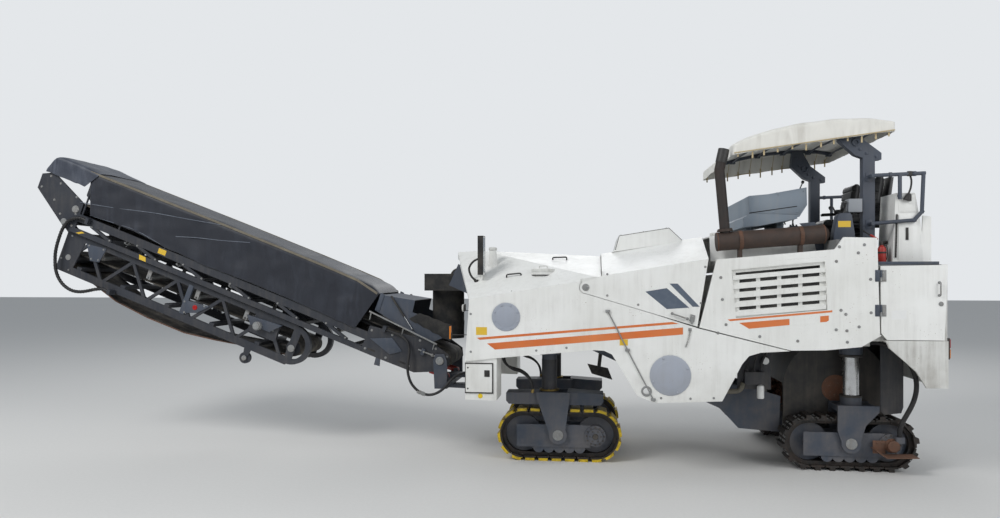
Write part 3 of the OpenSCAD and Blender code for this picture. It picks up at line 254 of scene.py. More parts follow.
def dusty_rubber(name, colour, dust, rough=0.75, grain=7, amount=0.5):
    """Black rubber: matt, grainy, with stone dust in the hollows."""
    mat, tree, place = begin(name)
    cloud = add(tree, "TexNoise", {"Vector": place, "Scale": per_mm(120), "Detail": 6.0, "Roughness": 0.65})
    fine = add(tree, "TexNoise", {"Vector": place, "Scale": per_mm(grain), "Detail": 4.0, "Roughness": 0.6})
    film = add(tree, "MapRange", {"Value": cloud, "From Min": 0.4, "From Max": 0.75, "To Max": amount})
    shader = add(tree, "BsdfPrincipled", {
        "Base Color": add(tree, "Mix", {0: film, 6: linear(colour), 7: linear(dust)}, out=2, data_type="RGBA"),
        "Roughness": rough,
        "IOR": 1.52,
        "Normal": add(tree, "Bump", {"Height": fine, "Strength": 0.25, "Distance": 0.003}),
    })
    add(tree, "OutputMaterial", {"Surface": shader})
    return mat


def moulded(name, colour, rough=0.45, grain=3.0, spread="808080", amount=0.08):
    """Injection-moulded or cast plastic, also polyurethane pads: even colour, fine spark grain."""
    mat, tree, place = begin(name)
    cloud = add(tree, "TexNoise", {"Vector": place, "Scale": per_mm(70), "Detail": 6.0, "Roughness": 0.7})
    fine = add(tree, "TexNoise", {"Vector": place, "Scale": per_mm(grain), "Detail": 2.0})
    film = add(tree, "MapRange", {"Value": cloud, "From Min": 0.45, "From Max": 0.75, "To Max": amount})
    shader = add(tree, "BsdfPrincipled", {
        "Base Color": add(tree, "Mix", {0: film, 6: linear(colour), 7: linear(spread)}, out=2, data_type="RGBA"),
        "Roughness": rough,
        "IOR": 1.5,
        "Normal": add(tree, "Bump", {"Height": fine, "Strength": 0.12, "Distance": 0.001}),
    })
    add(tree, "OutputMaterial", {"Surface": shader})
    return mat


# Outer radius of a crawler's loop and half of its straight run
TRACK_R = track_high[2] / 2
HALF_RUN = (track_high[0] - track_low[0]) / 2 - TRACK_R


def track_with_pads():
    """Dark link plates whose outer blocks are yellow polyurethane, told apart by their depth in the loop."""
    mat, tree, place = begin("iron_track_with_pads")
    ahead = add(tree, "SeparateXYZ", {"Vector": place}, out="X")
    height = ahead.node.outputs["Z"]
    for operation, value in (("SUBTRACT", FRONT_X), ("ABSOLUTE", 0.0), ("SUBTRACT", HALF_RUN), ("MAXIMUM", 0.0)):
        ahead = add(tree, "Math", {0: ahead, 1: value}, operation=operation)
    rise = add(tree, "Math", {0: height, 1: TRACK_R}, operation="SUBTRACT")
    flat = add(tree, "CombineXYZ", {"X": ahead, "Y": rise})
    depth = add(tree, "VectorMath", {0: flat}, out="Value", operation="LENGTH")
    cloud = add(tree, "TexNoise", {"Vector": place, "Scale": per_mm(60), "Detail": 7.0, "Roughness": 0.7})
    fine = add(tree, "TexNoise", {"Vector": place, "Scale": per_mm(18), "Detail": 4.0})
    # Distance from the loop's centre line at which a pad begins, and at which its worn face lies
    pad, face, dusty, dirt_and_fold_shade, patches = (
        add(tree, "MapRange", {"Value": grey, "From Min": dark, "From Max": light, "To Max": amount})
        for grey, dark, light, amount in (
            (depth, 0.2495, 0.2515, 1.0), (depth, 0.2765, 0.2790, 0.8), (cloud, 0.42, 0.66, 0.7),
            (cloud, 0.4, 0.7, 0.75), (fine, 0.35, 0.6, 1.0),
        )
    )
    # The ground rubs the pad's outer face grey
    worn = add(tree, "Math", {0: face, 1: patches}, operation="MULTIPLY")
    iron = add(tree, "Mix", {0: dusty, 6: linear("171616"), 7: linear("3D3127")}, out=2, data_type="RGBA")
    yellow = add(tree, "Mix", {0: dirt_and_fold_shade, 6: linear("D9B81C"), 7: linear("4A4020")}, out=2, data_type="RGBA")
    yellow = add(tree, "Mix", {0: worn, 6: yellow, 7: linear("7F7867")}, out=2, data_type="RGBA")
    shader = add(tree, "BsdfPrincipled", {
        "Base Color": add(tree, "Mix", {0: pad, 6: iron, 7: yellow}, out=2, data_type="RGBA"),
        "Roughness": add(tree, "MapRange", {"Value": cloud, "To Min": 0.4, "To Max": 0.7}),
        "Normal": add(tree, "Bump", {"Height": fine, "Strength": 0.25, "Distance": 0.003}),
    })
    add(tree, "OutputMaterial", {"Surface": shader})
    return mat


# Sprayed enamels: half-glossy coats that streak, gather dust and chip down to rust
WHITE = machine_enamel("enamel_white", "EFEFEC", "E3E3DE", "8C857A", "6E4A33", gloss=0.3, dirt=0.3, chips=0.8)
PALE = machine_enamel("enamel_white_worn", "DFDFDB", "CFCFCA", "7B7368", "6E4A33", gloss=0.4, dirt=0.9, chips=0.9)
SLATE = machine_enamel("enamel_slate", "363E4B", "444C59", "77706A", "5B4436", gloss=0.4, dirt=0.4, chips=0.6)
DARK = machine_enamel("enamel_dark_frame", "23262E", "30343C", "6B655E", "54402F", gloss=0.42, dirt=0.5, chips=0.7)
CONSOLE = machine_enamel(
    "enamel_console_grey", "6F7C89", "85909B", "A19B90", "564638", gloss=0.45, dirt=0.5, chips=0.3,
)
DECK = machine_enamel(
    "enamel_antislip_grey", "77797A", "8A8B8A", "5C564E", "54402F", gloss=0.6, dirt=0.9, chips=0.8,
)
RED = machine_enamel("enamel_red", "B5281F", "9E2A22", "5A443C", "4A352B", gloss=0.35, dirt=0.6, chips=0.5)
ORANGE = machine_enamel("foil_orange", "D2692B", "DB7E45", "9A8470", "B98A66", gloss=0.35, dirt=0.25, chips=0.1)
BLACK_PAINT = machine_enamel(
    "enamel_black", "1C1C1E", "2B2A29", "5E574E", "4A382C", gloss=0.45, dirt=0.7, chips=0.5,
)
COVER = machine_enamel("enamel_cover_grey", "9BA1AD", "A9AEB8", "8C857A", "6E4A33", gloss=0.35, dirt=0.3, chips=0.3)
OLIVE = machine_enamel("enamel_olive", "4C4A3A", "5A5744", "77706A", "5B4436", gloss=0.4, dirt=0.6, chips=0.4)
# Rubber: matt black that stone dust turns grey
RUBBER = dusty_rubber("rubber_black", "1A1A1B", "6E675C", amount=0.3)
BELT = dusty_rubber("rubber_belt", "1D1C1B", "7C7467", grain=12, amount=0.7)
HOSE = dusty_rubber("rubber_hose", "17171A", "5C564D", rough=0.55, grain=5, amount=0.25)
# Bare steels: brown where they stand, bright where they rub; the exhaust browned by heat and soot
TRACK = worn_iron("iron_track", "1E1D1C", "3D2E24", "8C857C", rough=0.55, rusty=0.6, polish=0.35)
PICK = worn_iron("tool_steel", "6B4A38", "7D5138", "B5A99B", rough=0.6, rusty=0.8, polish=0.4)
BRONZE = worn_iron("heated_steel", "3B302A", "4E3C33", "6F5E53", rough=0.6, rusty=0.8, polish=0.15)
SOOTY = worn_iron("sooty_steel", "2A2523", "3D302A", "5A4E47", rough=0.6, rusty=0.6, polish=0.1)
RUST = worn_iron("scaled_steel", "5A4234", "6E4B38", "8E7767", rough=0.65, rusty=0.9, polish=0.1)
STEEL = worn_iron("zinc_steel", "8A8C8C", "77695C", "C9C9C6", rough=0.4, rusty=0.4, polish=0.8)
# Metals that mirror: chromed columns and rods, yellow-passivated unions
CHROME = ground_metal("hard_chrome", "C8C9CA", 0.12, "8A8177")
BRASS = ground_metal("passivated_rod", "A08A55", 0.3, "6E5C38")
GLASS = ground_metal("mirror_glass", "C9CED2", 0.03, "AEB4B8")
# Coated cloths: dull sheets; their second colour is painted shade and sheen in the folds
NAVY = coated_cloth("tarpaulin_navy", "171B26", "3D434F", 4.0, rough=0.5, marks=0.4)
CREAM = coated_cloth("tarpaulin_white", "E4E2DB", "A59F94", 4.0, rough=0.65, marks=0.55)
FLAP = coated_cloth("rubber_cloth_slate", "2F3542", "666C78", 5.0, rough=0.55, marks=0.8)
HEM = coated_cloth("webbing_tan", "6E675A", "8E8674", 3.0, rough=0.8, marks=0.6)
STRAP = coated_cloth("webbing_cream", "B9A883", "8F8268", 3.0, rough=0.8, marks=0.6)
# Plastics, lenses and foils: even and smooth, dull to wet-looking
YELLOW = moulded("polyurethane_yellow", "E3C21F", rough=0.42, spread="6B5A22", amount=0.5)
PLASTIC = moulded("plastic_black", "1B1B1D", rough=0.4)
GREY_PLASTIC = moulded("plastic_grey", "8D9196", rough=0.5)
VINYL = moulded("vinyl_black", "1D1D1E", rough=0.5, grain=2.0)
AMBER = moulded("lens_amber", "E0821E", rough=0.15)
RED_LENS = moulded("lens_red", "A81C18", rough=0.15)
STICKER_YELLOW = moulded("foil_yellow", "E0B93A", rough=0.35)
STICKER_WHITE = moulded("foil_white", "E8E8E6", rough=0.3)
ROPE = moulded("polypropylene_rope", "5D636E", rough=0.7, spread="8A8F96", amount=0.5)
SLATE_FOIL = moulded("foil_slate", "56606E", rough=0.35, spread="7B828C", amount=0.3)
PADS = track_with_pads()

NODE_FINISH = {
    WHITE: "front_body flank_left flank_right rear_side_left rear_side_right louvre_left louvre_right rear_deck "
    "hood storage_box_left storage_box_right storage_door_left storage_door_right rear_door_left "
    "rear_door_right cabinet deck_fittings",
    PALE: "rear_tank",
    SLATE: "front_yoke_left front_yoke_right front_frame_left front_frame_right rear_leg_left rear_leg_right "
    "rear_frame_left rear_frame_right canopy_post rail slew_bracket turntable front_guides ladder loading_conveyor "
    "boom_tail",
    DARK: "boom_frame fold_frame engine scraper",
    BLACK_PAINT: "drum_housing",
    CONSOLE: "console",
    DECK: "platform_floor",
    BRONZE: "muffler",
    SOOTY: "exhaust_pipe",
    PICK: "drum",
    TRACK: "rear_track_left rear_track_right",
    PADS: "front_track_left front_track_right",
    BELT: "loading_belt boom_belt fold_belt",
    RUBBER: "chute",
    NAVY: "boom_cover",
    CREAM: "canopy",
    VINYL: "seat",
    HOSE: "front_hose head_hose rear_hose",
    RED: "lift_barrels",
    CHROME: "lift_rods",
}
for finish, names in NODE_FINISH.items():
    for node_name in names.split():
        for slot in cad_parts[node_name].material_slots:
            slot.material = finish

# ---------------------------------------------------------------- modelling helpers

MACHINE = Matrix.Translation((FRONT_X, 0, 0))
BOOM_TILT = math.radians(21.2)
SLEW_X = -1.33
BOOM_Z = 1.04
# The conveyor's own frame: -x runs from the tail pulley to the head, z is square to the belt
BOOM = MACHINE @ Matrix.Translation((SLEW_X, 0, BOOM_Z)) @ Matrix.Rotation(BOOM_TILT, 4, "Y")
SIDES = ((-1, "left"), (1, "right"))
SHARP = 0.55  # angle in radians from which an edge is rounded and shaded sharp
UP, AHEAD, BACK, LEFT = (0, 0, 1), (-1, 0, 0), (1, 0, 0), (0, -1, 0)


def slab(bm, points, y1, y2):
    """Side profile in x and z, extruded from y1 to y2."""
    face = bm.faces.new([bm.verts.new((x, y1, z)) for x, z in points])
    grown = bmesh.ops.extrude_face_region(bm, geom=[face])["geom"]
    bmesh.ops.translate(bm, verts=[v for v in grown if isinstance(v, bmesh.types.BMVert)], vec=(0, y2 - y1, 0))


def boom_slab(bm, points, y1, y2):
    """The same for (s, n) points of the conveyor."""
    slab(bm, [(-s, n) for s, n in points], y1, y2)


def block(bm, low, high, turn=None):
    """Box between two corners, turned about its middle."""
    low, high = Vector(low), Vector(high)
    size = high - low
    place = Matrix.Translation((low + high) / 2) @ (turn or Matrix()) @ Matrix.Diagonal((*size, 1))
    bmesh.ops.create_cube(bm, size=1, matrix=place)


def rod(bm, a, b, r, r2=None, sides=20):
    """Round bar from a to b, tapered to r2."""
    a, b = Vector(a), Vector(b)
    place = Matrix.Translation((a + b) / 2) @ (b - a).to_track_quat("Z", "Y").to_matrix().to_4x4()
    bmesh.ops.create_cone(
        bm, cap_ends=True, segments=sides, radius1=r, radius2=r if r2 is None else r2,
        depth=(b - a).length, matrix=place,
    )


def turned(bm, profile, at, axis, steps=28):
    """Lathe work: (radius, distance) pairs along the axis from the point at."""
    at, axis = Vector(at), Vector(axis).normalized()
    side = axis.orthogonal().normalized()
    line = [bm.verts.new(at + side * r + axis * d) for r, d in profile]
    edges = [bm.edges.new(pair) for pair in zip(line, line[1:])]
    bmesh.ops.spin(bm, geom=line + edges, cent=at, axis=axis, angle=math.tau, steps=steps, use_merge=True)


def ring(inner, outer, h, base=0.0):
    """Lathe profile of a plain ring."""
    return [(inner, base), (outer, base), (outer, base + h), (inner, base + h), (inner, base)]


def curve_through(points, steps=6):
    """Smooth route through the points, ends included."""
    p = [Vector(q) for q in points]
    p = [p[0] * 2 - p[1]] + p + [p[-1] * 2 - p[-2]]
    out = []
    for a, b, c, d in zip(p, p[1:], p[2:], p[3:]):
        for k in range(steps):
            t = k / steps
            out.append(
                0.5 * (2 * b + (c - a) * t + (2 * a - 5 * b + 4 * c - d) * t * t + (3 * b - a - 3 * c + d) * t ** 3)
            )
    return out + [p[-2]]


def pipe(bm, points, r, sides=3, closed=False, swell=None):
    """Bent bar or hose along the points; swell gives each point's share of r."""
    line = bpy.data.curves.new("pipe", "CURVE")
    line.dimensions = "3D"
    line.bevel_depth = r
    line.bevel_resolution = sides
    line.use_fill_caps = not closed
    spline = line.splines.new("POLY")
    spline.points.add(len(points) - 1)
    for i, p in enumerate(points):
        spline.points[i].co = (*p, 1)
        spline.points[i].radius = 1 if swell is None else swell(i)
    spline.use_cyclic_u = closed
    holder = bpy.data.objects.new("pipe", line)
    mesh = bpy.data.meshes.new_from_object(holder)
    bm.from_mesh(mesh)
    bpy.data.objects.remove(holder)
    bpy.data.curves.remove(line)
    bpy.data.meshes.remove(mesh)


def bent(bm, points, r, sides=3, steps=6):
    """Bar or hose on the smooth route through the points."""
    pipe(bm, curve_through(points, steps), r, sides)


def bolt(bm, at, axis, r=0.009, h=0.007, sides=6):
    """Hexagon head on its washer."""
    at, axis = Vector(at), Vector(axis)
    rod(bm, at - axis * 0.002, at + axis * 0.002, r * 1.45, sides=16)
    rod(bm, at, at + axis * h, r, sides=sides)


def piece(name, bm, finish, body, place=MACHINE, bevel=0.0, segments=2, smooth=SHARP):
    """Rounds the sharp edges and sets the piece in its place; without a body it is left unattached."""
    bmesh.ops.remove_doubles(bm, verts=bm.verts, dist=2e-6)
    bmesh.ops.recalc_face_normals(bm, faces=bm.faces)
    if bevel:
        hard = [e for e in bm.edges if len(e.link_faces) == 2 and e.calc_face_angle(0) > SHARP]
        bmesh.ops.bevel(
            bm, geom=hard, offset=bevel, offset_type="OFFSET", affect="EDGES", segments=segments, profile=0.5,
            material=-1, clamp_overlap=True,
        )
    bmesh.ops.transform(bm, matrix=place, verts=bm.verts)
    for face in bm.faces:
        face.smooth = True
    for edge in bm.edges:
        edge.smooth = len(edge.link_faces) == 2 and edge.calc_face_angle(0) < smooth
    mesh = bpy.data.meshes.new(name)
    bm.to_mesh(mesh)
    bm.free()
    mesh.materials.append(finish)
    obj = bpy.data.objects.new(name, mesh)
    bpy.context.collection.objects.link(obj)
    if body:
        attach(obj, body)
    return obj


def route_length(points):
    return sum((b - a).length for a, b in zip(points, points[1:]))


# ---------------------------------------------------------------- hoses


def hose(name, points, r, place, swell=None, body=None, steps=6, **facts):
    """A hose on a smooth route."""
    route = curve_through(points, steps)
    bm = bmesh.new()
    pipe(bm, route, r, sides=4, swell=swell)
    obj = piece(name, bm, HOSE, body, place)
    world = [place @ p for p in route]
    tuple(world[0])
    round(route_length(route), 3)
    [tuple(p) for p in world]
    return obj


def spiral(points, r, pitch):
    """Helix of a guard round a hose that lies nearly in one side plane."""
    per_turn = 10
    out, run = [], 0.0
    for a, b in zip(points, points[1:]):
        d = b - a
        along = d.normalized()
        up = along.cross(Vector((0, 1, 0))).normalized()
        side = up.cross(along)
        n = max(1, round(d.length / pitch * per_turn))
        for k in range(n):
            turn = (run + d.length * k / n) / pitch * math.tau
            out.append(a + d * (k / n) + (up * math.cos(turn) + side * math.sin(turn)) * r)
        run += d.length
    return out


# (s, n, y) on the conveyor, as in the part's source. The front hose has a screwed joint at
# its lowest point, which stays with the turntable
FRONT_HOSE = [
    (0.7, 0.095, -0.48), (0.62, 0.095, -0.48), (0.54, 0.095, -0.48), (0.47, 0.08, -0.485), (0.41, 0.045, -0.495),
    (0.37, -0.01, -0.51), (0.345, -0.075, -0.525), (0.325, -0.145, -0.54), (0.3, -0.215, -0.545),
    (0.26, -0.285, -0.545), (0.205, -0.345, -0.545), (0.135, -0.385, -0.545), (0.06, -0.405, -0.545),
    (-0.015, -0.395, -0.545), (-0.08, -0.36, -0.545), (-0.13, -0.305, -0.545), (-0.165, -0.24, -0.54),
    (-0.185, -0.175, -0.525), (-0.212, -0.115, -0.495), (-0.25, -0.07, -0.46), (-0.305, -0.03, -0.42),
    (-0.37, 0.005, -0.398), (-0.4826, 0.05, -0.395),
]
HEAD_HOSE = [
    (4.56, -0.05, -0.482), (4.625, -0.05, -0.482), (4.685, -0.065, -0.482), (4.74, -0.1, -0.482),
    (4.78, -0.15, -0.482), (4.805, -0.215, -0.482), (4.815, -0.29, -0.482), (4.815, -0.375, -0.482),
    (4.81, -0.46, -0.482), (4.795, -0.55, -0.482), (4.765, -0.64, -0.482), (4.725, -0.725, -0.482),
    (4.665, -0.8, -0.482), (4.59, -0.855, -0.482), (4.505, -0.885, -0.482), (4.415, -0.89, -0.482),
    (4.325, -0.865, -0.482), (4.24, -0.82, -0.482), (4.16, -0.77, -0.482), (4.08, -0.735, -0.482),
    (4.0, -0.735, -0.482),
]
REAR_HOSE = [
    (3.08, -0.85, 1.32), (3.15, -0.85, 1.32), (3.22, -0.85, 1.308), (3.288, -0.85, 1.28), (3.35, -0.85, 1.24),
    (3.408, -0.85, 1.19), (3.458, -0.85, 1.13), (3.495, -0.85, 1.06), (3.52, -0.85, 0.985), (3.53, -0.85, 0.905),
    (3.525, -0.848, 0.825), (3.508, -0.843, 0.748), (3.48, -0.835, 0.672), (3.45, -0.818, 0.6),
    (3.422, -0.796, 0.525), (3.405, -0.778, 0.45), (3.4, -0.775, 0.376),
]
LOWEST = 12
boom_points = [[Vector((-s, y, n)) for s, n, y in route] for route in (FRONT_HOSE, HEAD_HOSE)]


joint_at = boom_points[0][LOWEST]
bm = bmesh.new()
for x in (-0.034, 0.004):
    rod(bm, joint_at + Vector((x, 0, 0.001)), joint_at + Vector((x + 0.03, 0, 0.001)), 0.023, sides=6)
rod(bm, joint_at - Vector((0.05, 0, 0)), joint_at + Vector((0.05, 0, 0.002)), 0.0185)
front_joint = piece("front_hose_joint", bm, STEEL, "turntable", BOOM, bevel=0.002)

upper = hose(
    "front_hose_upper", boom_points[0][: LOWEST + 1], 0.015, BOOM, far_end="connector", with_pieces=[front_joint],
)
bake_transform(upper)
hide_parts("front_hose")
lower = hose("front_hose_lower", boom_points[0][LOWEST:], 0.015, BOOM, far_end="object")
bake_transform(lower)

bm = bmesh.new()
pipe(bm, spiral(curve_through(boom_points[1], 3)[2:-2], 0.0185, 0.034), 0.0035, sides=1)
guard = piece("head_hose_guard", bm, PLASTIC, None, BOOM)
head_hose = hose("head_hose_line", boom_points[1], 0.018, BOOM, far_end="object", with_pieces=[guard])
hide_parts("head_hose")
for obj in (guard, head_hose):
    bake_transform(obj)

# Corrugated guard hose: a ridge every 16 mm
rear_hose = hose(
    "rear_hose_line", REAR_HOSE, 0.025, MACHINE, swell=lambda i: 1.0 if i % 4 < 2 else 0.9, steps=21,
    body="machine", far_end="object",
)
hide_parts("rear_hose")

# ---------------------------------------------------------------- canopy and conveyor sheets


def on_line(line, share):
    """Point at a share of the line's length."""
    legs = [math.dist(a, b) for a, b in zip(line, line[1:])]
    left = share * sum(legs)
    for a, b, leg in zip(line, line[1:], legs):
        if left <= leg or b == line[-1]:
            t = min(left / leg, 1)
            return a[0] + (b[0] - a[0]) * t, a[1] + (b[1] - a[1]) * t
        left -= leg


def value_at(table, x):
    """Height from a table of (place, height), straight between its rows."""
    for (a, p), (b, q) in zip(table, table[1:]):
        if x <= b:
            return p + (q - p) * max(x - a, 0) / (b - a)
    return table[-1][1]


CLOTH_T = 0.002


def fitted_sheet(nx, ny, top, hem, hangs, rows=6):
    """A sewn sheet: its top from top(u, v), and walls from its rim down to hem(point)."""
    bm = bmesh.new()
    bmesh.ops.create_grid(bm, x_segments=nx, y_segments=ny, size=0.5)
    for v in bm.verts:
        v.co = top(v.co.x + 0.5, v.co.y + 0.5)
    rim = [e for e in bm.edges if e.is_boundary and hangs((e.verts[0].co + e.verts[1].co) / 2)]
    carried = {v: (v.co.copy(), Vector(hem(v.co))) for e in rim for v in e.verts}
    for row in range(1, rows + 1):
        grown = bmesh.ops.extrude_edge_only(bm, edges=rim)["geom"]
        fresh = {}
        for v in grown:
            if isinstance(v, bmesh.types.BMVert):
                fresh[v] = next(carried[e.other_vert(v)] for e in v.link_edges if e.other_vert(v) in carried)
        for v, (high, low) in fresh.items():
            v.co = high.lerp(low, row / rows)
        rim = [e for e in grown if isinstance(e, bmesh.types.BMEdge) and all(v in fresh for v in e.verts)]
        carried = fresh
    return bm


def ripple(p, size, seed):
    return noise.noise(Vector((p.x / size + seed, p.y / size, p.z / size)))


def cloth_piece(name, bm, finish, body, place):
    """Smooth cloth; gives the piece and its flat area."""
    area = sum(f.calc_area() for f in bm.faces)
    obj = piece(name, bm, finish, body, place, smooth=2.0)
    wall = obj.modifiers.new("thickness", "SOLIDIFY")
    wall.thickness = CLOTH_T
    wall.offset = 0
    soft = obj.modifiers.new("round", "SUBSURF")
    soft.levels = soft.render_levels = 1
    return obj, round(area, 3)


CANOPY_LINE = [(1.74, 3.31), (1.9, 3.388), (2.15, 3.462), (2.4, 3.512), (2.75, 3.545), (3.06, 3.54), (3.27, 3.505)]
CANOPY_HALF_W = 1.03
BOWS = [1.80, 2.08, 2.38, 2.68, 2.98, 3.22]
FRAME_Y = 0.9


def canopy_z(x):
    return value_at(CANOPY_LINE, x)


def canopy_hem(x):
    return 3.19 + (x - 1.74) * 0.1275


def canopy_top(u, v):
    """The sheet lies on the bows and hangs a little between them and between the side rails."""
    x, z = on_line(CANOPY_LINE, u)
    y = (2 * v - 1) * CANOPY_HALF_W
    gap = min(abs(x - b) for b in BOWS) / 0.15
    inside = max(1 - (abs(y) / FRAME_Y) ** 2, 0)
    sag = 0.010 + 0.016 * min(gap, 1) ** 2 * (0.3 + 0.7 * inside) + 0.010 * inside
    p = Vector((x, y, z - sag))
    p.z += 0.006 * ripple(p, 0.22, 3) - 0.02 * max(abs(y) - 0.94, 0) / 0.09
    # The side rails hold the sheet up
    if abs(abs(y) - FRAME_Y) < 0.055:
        p.z = max(p.z, z - 0.010)
    return p


def canopy_wall(p):
    """Hem under a point of the rim, with the slack of a laced edge."""
    if abs(p.y) > CANOPY_HALF_W - 0.01:
        out = Vector((0, math.copysign(1, p.y), 0))
    else:
        out = Vector((math.copysign(1, p.x - 2.5), 0, 0))
    wave = 0.5 + 0.5 * math.sin((p.x * 0.9 + p.y) * 13)
    return Vector((p.x, p.y, canopy_hem(p.x) + 0.012 * ripple(p, 0.09, 7))) + out * (0.012 * wave - 0.008)


bm = fitted_sheet(40, 44, canopy_top, canopy_wall, lambda p: True)
for v in bm.verts:
    v.co += Vector((0.006 * ripple(v.co, 0.13, 11), 0.006 * ripple(v.co, 0.13, 17), 0))
canopy, canopy_area = cloth_piece("canopy_sheet", bm, CREAM, "machine", MACHINE)

bm = bmesh.new()
for m, side in SIDES:
    line = [Vector((x, m * (CANOPY_HALF_W + 0.004), canopy_hem(x) + 0.012)) for x in (1.75, 2.1, 2.5, 2.9, 3.26)]
    bent(bm, line, 0.006)
    for i, x in enumerate((1.79, 1.93, 2.04, 2.17, 2.31, 2.44, 2.58, 2.70, 2.83, 2.96, 3.09, 3.21)):
        low = canopy_hem(x)
        # Each tie runs from the hem to the rail, and its spare end hangs down
        tie = [
            (x, m * 1.018, low + 0.02), (x + 0.01, m * 0.975, canopy_z(x) - 0.07),
            (x, m * 0.92, canopy_z(x) - 0.045),
        ]
        bent(bm, tie, 0.0035, steps=5)
        end = low - 0.03 - 0.011 * (i * 7 % 4)
        block(bm, (x - 0.008, m * 1.016 - 0.002, end), (x + 0.008, m * 1.016 + 0.002, low + 0.05))
ties = piece("canopy_ties", bm, STRAP, "machine")
canopy_width = 2 * (CANOPY_HALF_W + canopy_z(2.75) - canopy_hem(2.75))
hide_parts("canopy")

bm = bmesh.new()
for x in BOWS:
    z = canopy_z(x) - 0.041
    drops = ((-0.9, 0.01), (-0.5, 0.004), (0, 0.022), (0.5, 0.004), (0.9, 0.01))
    bent(bm, [(x, y, z - drop) for y, drop in drops], 0.011)
    for m in (-1, 1):
        block(bm, (x - 0.03, m * 0.9 - 0.024, z - 0.025), (x + 0.03, m * 0.9 + 0.024, z + 0.006))
piece("canopy_bows", bm, SLATE, "machine")

# Tarpaulin over the conveyor, in its frame: x is -s
TARP_TOP = [(0.93, 0.44), (1.02, 0.495), (1.3, 0.515), (2.0, 0.525), (3.2, 0.53), (4.74, 0.525)]
TARP_LOW = [
    (0.93, -0.035), (1.7, -0.012), (2.4, -0.002), (3.0, -0.02), (3.5, 0.0), (3.95, 0.04), (4.3, 0.035), (4.74, 0.0),
]
HOOPS = [1.06, 1.68, 2.30, 2.92, 3.54, 4.16, 4.66]
TARP_Y = 0.461
TARP_TAIL, TARP_HEAD = 0.93, 4.74


def tarp_top(u, v):
    s = TARP_TAIL + u * (TARP_HEAD - TARP_TAIL)
    y = (2 * v - 1) * TARP_Y
    gap = min(min(abs(s - h) for h in HOOPS) / 0.31, 1)
    n = value_at(TARP_TOP, s) - 0.022 * gap ** 2 * (1 - (y / TARP_Y) ** 4) - 0.016 * (abs(y) / TARP_Y) ** 8
    p = Vector((-s, y, n))
    p.z += 0.006 * ripple(p, 0.2, 5)
    return p


def tarp_wall(p):
    s = -p.x
    toe = s + 0.12 * max(1 - (s - TARP_TAIL) / 0.5, 0) - 0.19 * max(1 - (TARP_HEAD - s) / 0.5, 0)
    return Vector((-toe, math.copysign(TARP_Y + 0.004, p.y), value_at(TARP_LOW, toe) + 0.008 * ripple(p, 0.1, 2)))


bm = fitted_sheet(96, 14, tarp_top, tarp_wall, lambda p: abs(p.y) > TARP_Y - 0.01, rows=10)
for v in bm.verts:
    gap = min(min(abs(-v.co.x - h) for h in HOOPS) / 0.31, 1)
    if abs(v.co.y) > TARP_Y - 0.02:
        crease = 0.010 * ripple(Vector((v.co.x * 0.5, v.co.y, v.co.z - v.co.x * 0.25)), 0.11, 9)
        v.co.y -= math.copysign(0.012 * gap * math.sin(min(max(v.co.z / 0.5, 0), 1) * math.pi) - crease, v.co.y)
tarp, tarp_area = cloth_piece("conveyor_tarp", bm, NAVY, "conveyor", BOOM)

# Top line of the flap over the head: it folds down at its end
FLAP_Y = 0.468
FLAP_TOP = [(4.60, 0.533), (4.97, 0.556), (5.16, 0.548), (5.215, 0.52), (5.268, 0.36)]


def flap_top(u, v):
    s, n = on_line(FLAP_TOP, u)
    y = (2 * v - 1) * FLAP_Y
    # The end is cut back over the belt, which passes here once the section is unfolded
    n += max(0.465 - n, 0) * min(max((0.462 - abs(y)) / 0.05, 0), 1)
    p = Vector((-s, y, n - 0.014 * (abs(y) / FLAP_Y) ** 8))
    p.z += 0.007 * ripple(p, 0.14, 21)
    return p


def flap_wall(p):
    s = -p.x
    toe = s + 0.13 * max(1 - (s - 4.6) / 0.25, 0)
    return Vector((-toe, math.copysign(0.474, p.y), min(0.315 + 0.012 * ripple(p, 0.08, 4), p.z - 0.02)))


bm = fitted_sheet(22, 16, flap_top, flap_wall, lambda p: abs(p.y) > 0.46, rows=6)
for v in bm.verts:
    v.co.y += 0.008 * ripple(v.co, 0.09, 31)
flap, flap_area = cloth_piece("conveyor_head_flap", bm, FLAP, "conveyor", BOOM)

bm = bmesh.new()
for m, side in SIDES:
    # Hem band along the top edge
    for i in range(14):
        s1 = 0.95 + 0.27 * i
        s2 = s1 + 0.268
        n1, n2 = value_at(TARP_TOP, s1), value_at(TARP_TOP, s2)
        boom_slab(
            bm, [(s1, n1 - 0.033), (s2, n2 - 0.033), (s2, n2 - 0.008), (s1, n1 - 0.008)],
            m * (TARP_Y - 0.002), m * (TARP_Y + 0.0035),
        )
hem = piece("conveyor_tarp_hem", bm, HEM, "conveyor", BOOM)
bm = bmesh.new()
for m, side in SIDES:
    for route in (
        [(4.73, 0.12), (4.3, 0.21), (3.81, 0.33), (3.35, 0.42), (2.95, 0.5)],
        [(3.45, 0.17), (3.2, 0.25), (2.9, 0.33), (2.57, 0.43)],
        [(4.55, 0.02), (4.2, 0.045), (3.95, 0.06), (3.6, 0.02)],
    ):
        bent(bm, [(-s, m * (TARP_Y - 0.002), n) for s, n in route], 0.0045)
seams = piece("conveyor_tarp_rope", bm, ROPE, "conveyor", BOOM)
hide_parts("boom_cover")

bm = bmesh.new()
for h in HOOPS:
    top = value_at(TARP_TOP, h) - 0.028
    for m in (-1, 1):
        rod(bm, (-h, m * 0.44, -0.02), (-h, m * 0.44, top - 0.04), 0.011)
    drops = ((-0.44, 0.05), (-0.425, 0.008), (-0.3, 0), (0.3, 0), (0.425, 0.008), (0.44, 0.05))
    bent(bm, [(-h, y, top - drop) for y, drop in drops], 0.011)
piece("conveyor_hoops", bm, DARK, "conveyor", BOOM)

# ---------------------------------------------------------------- seats


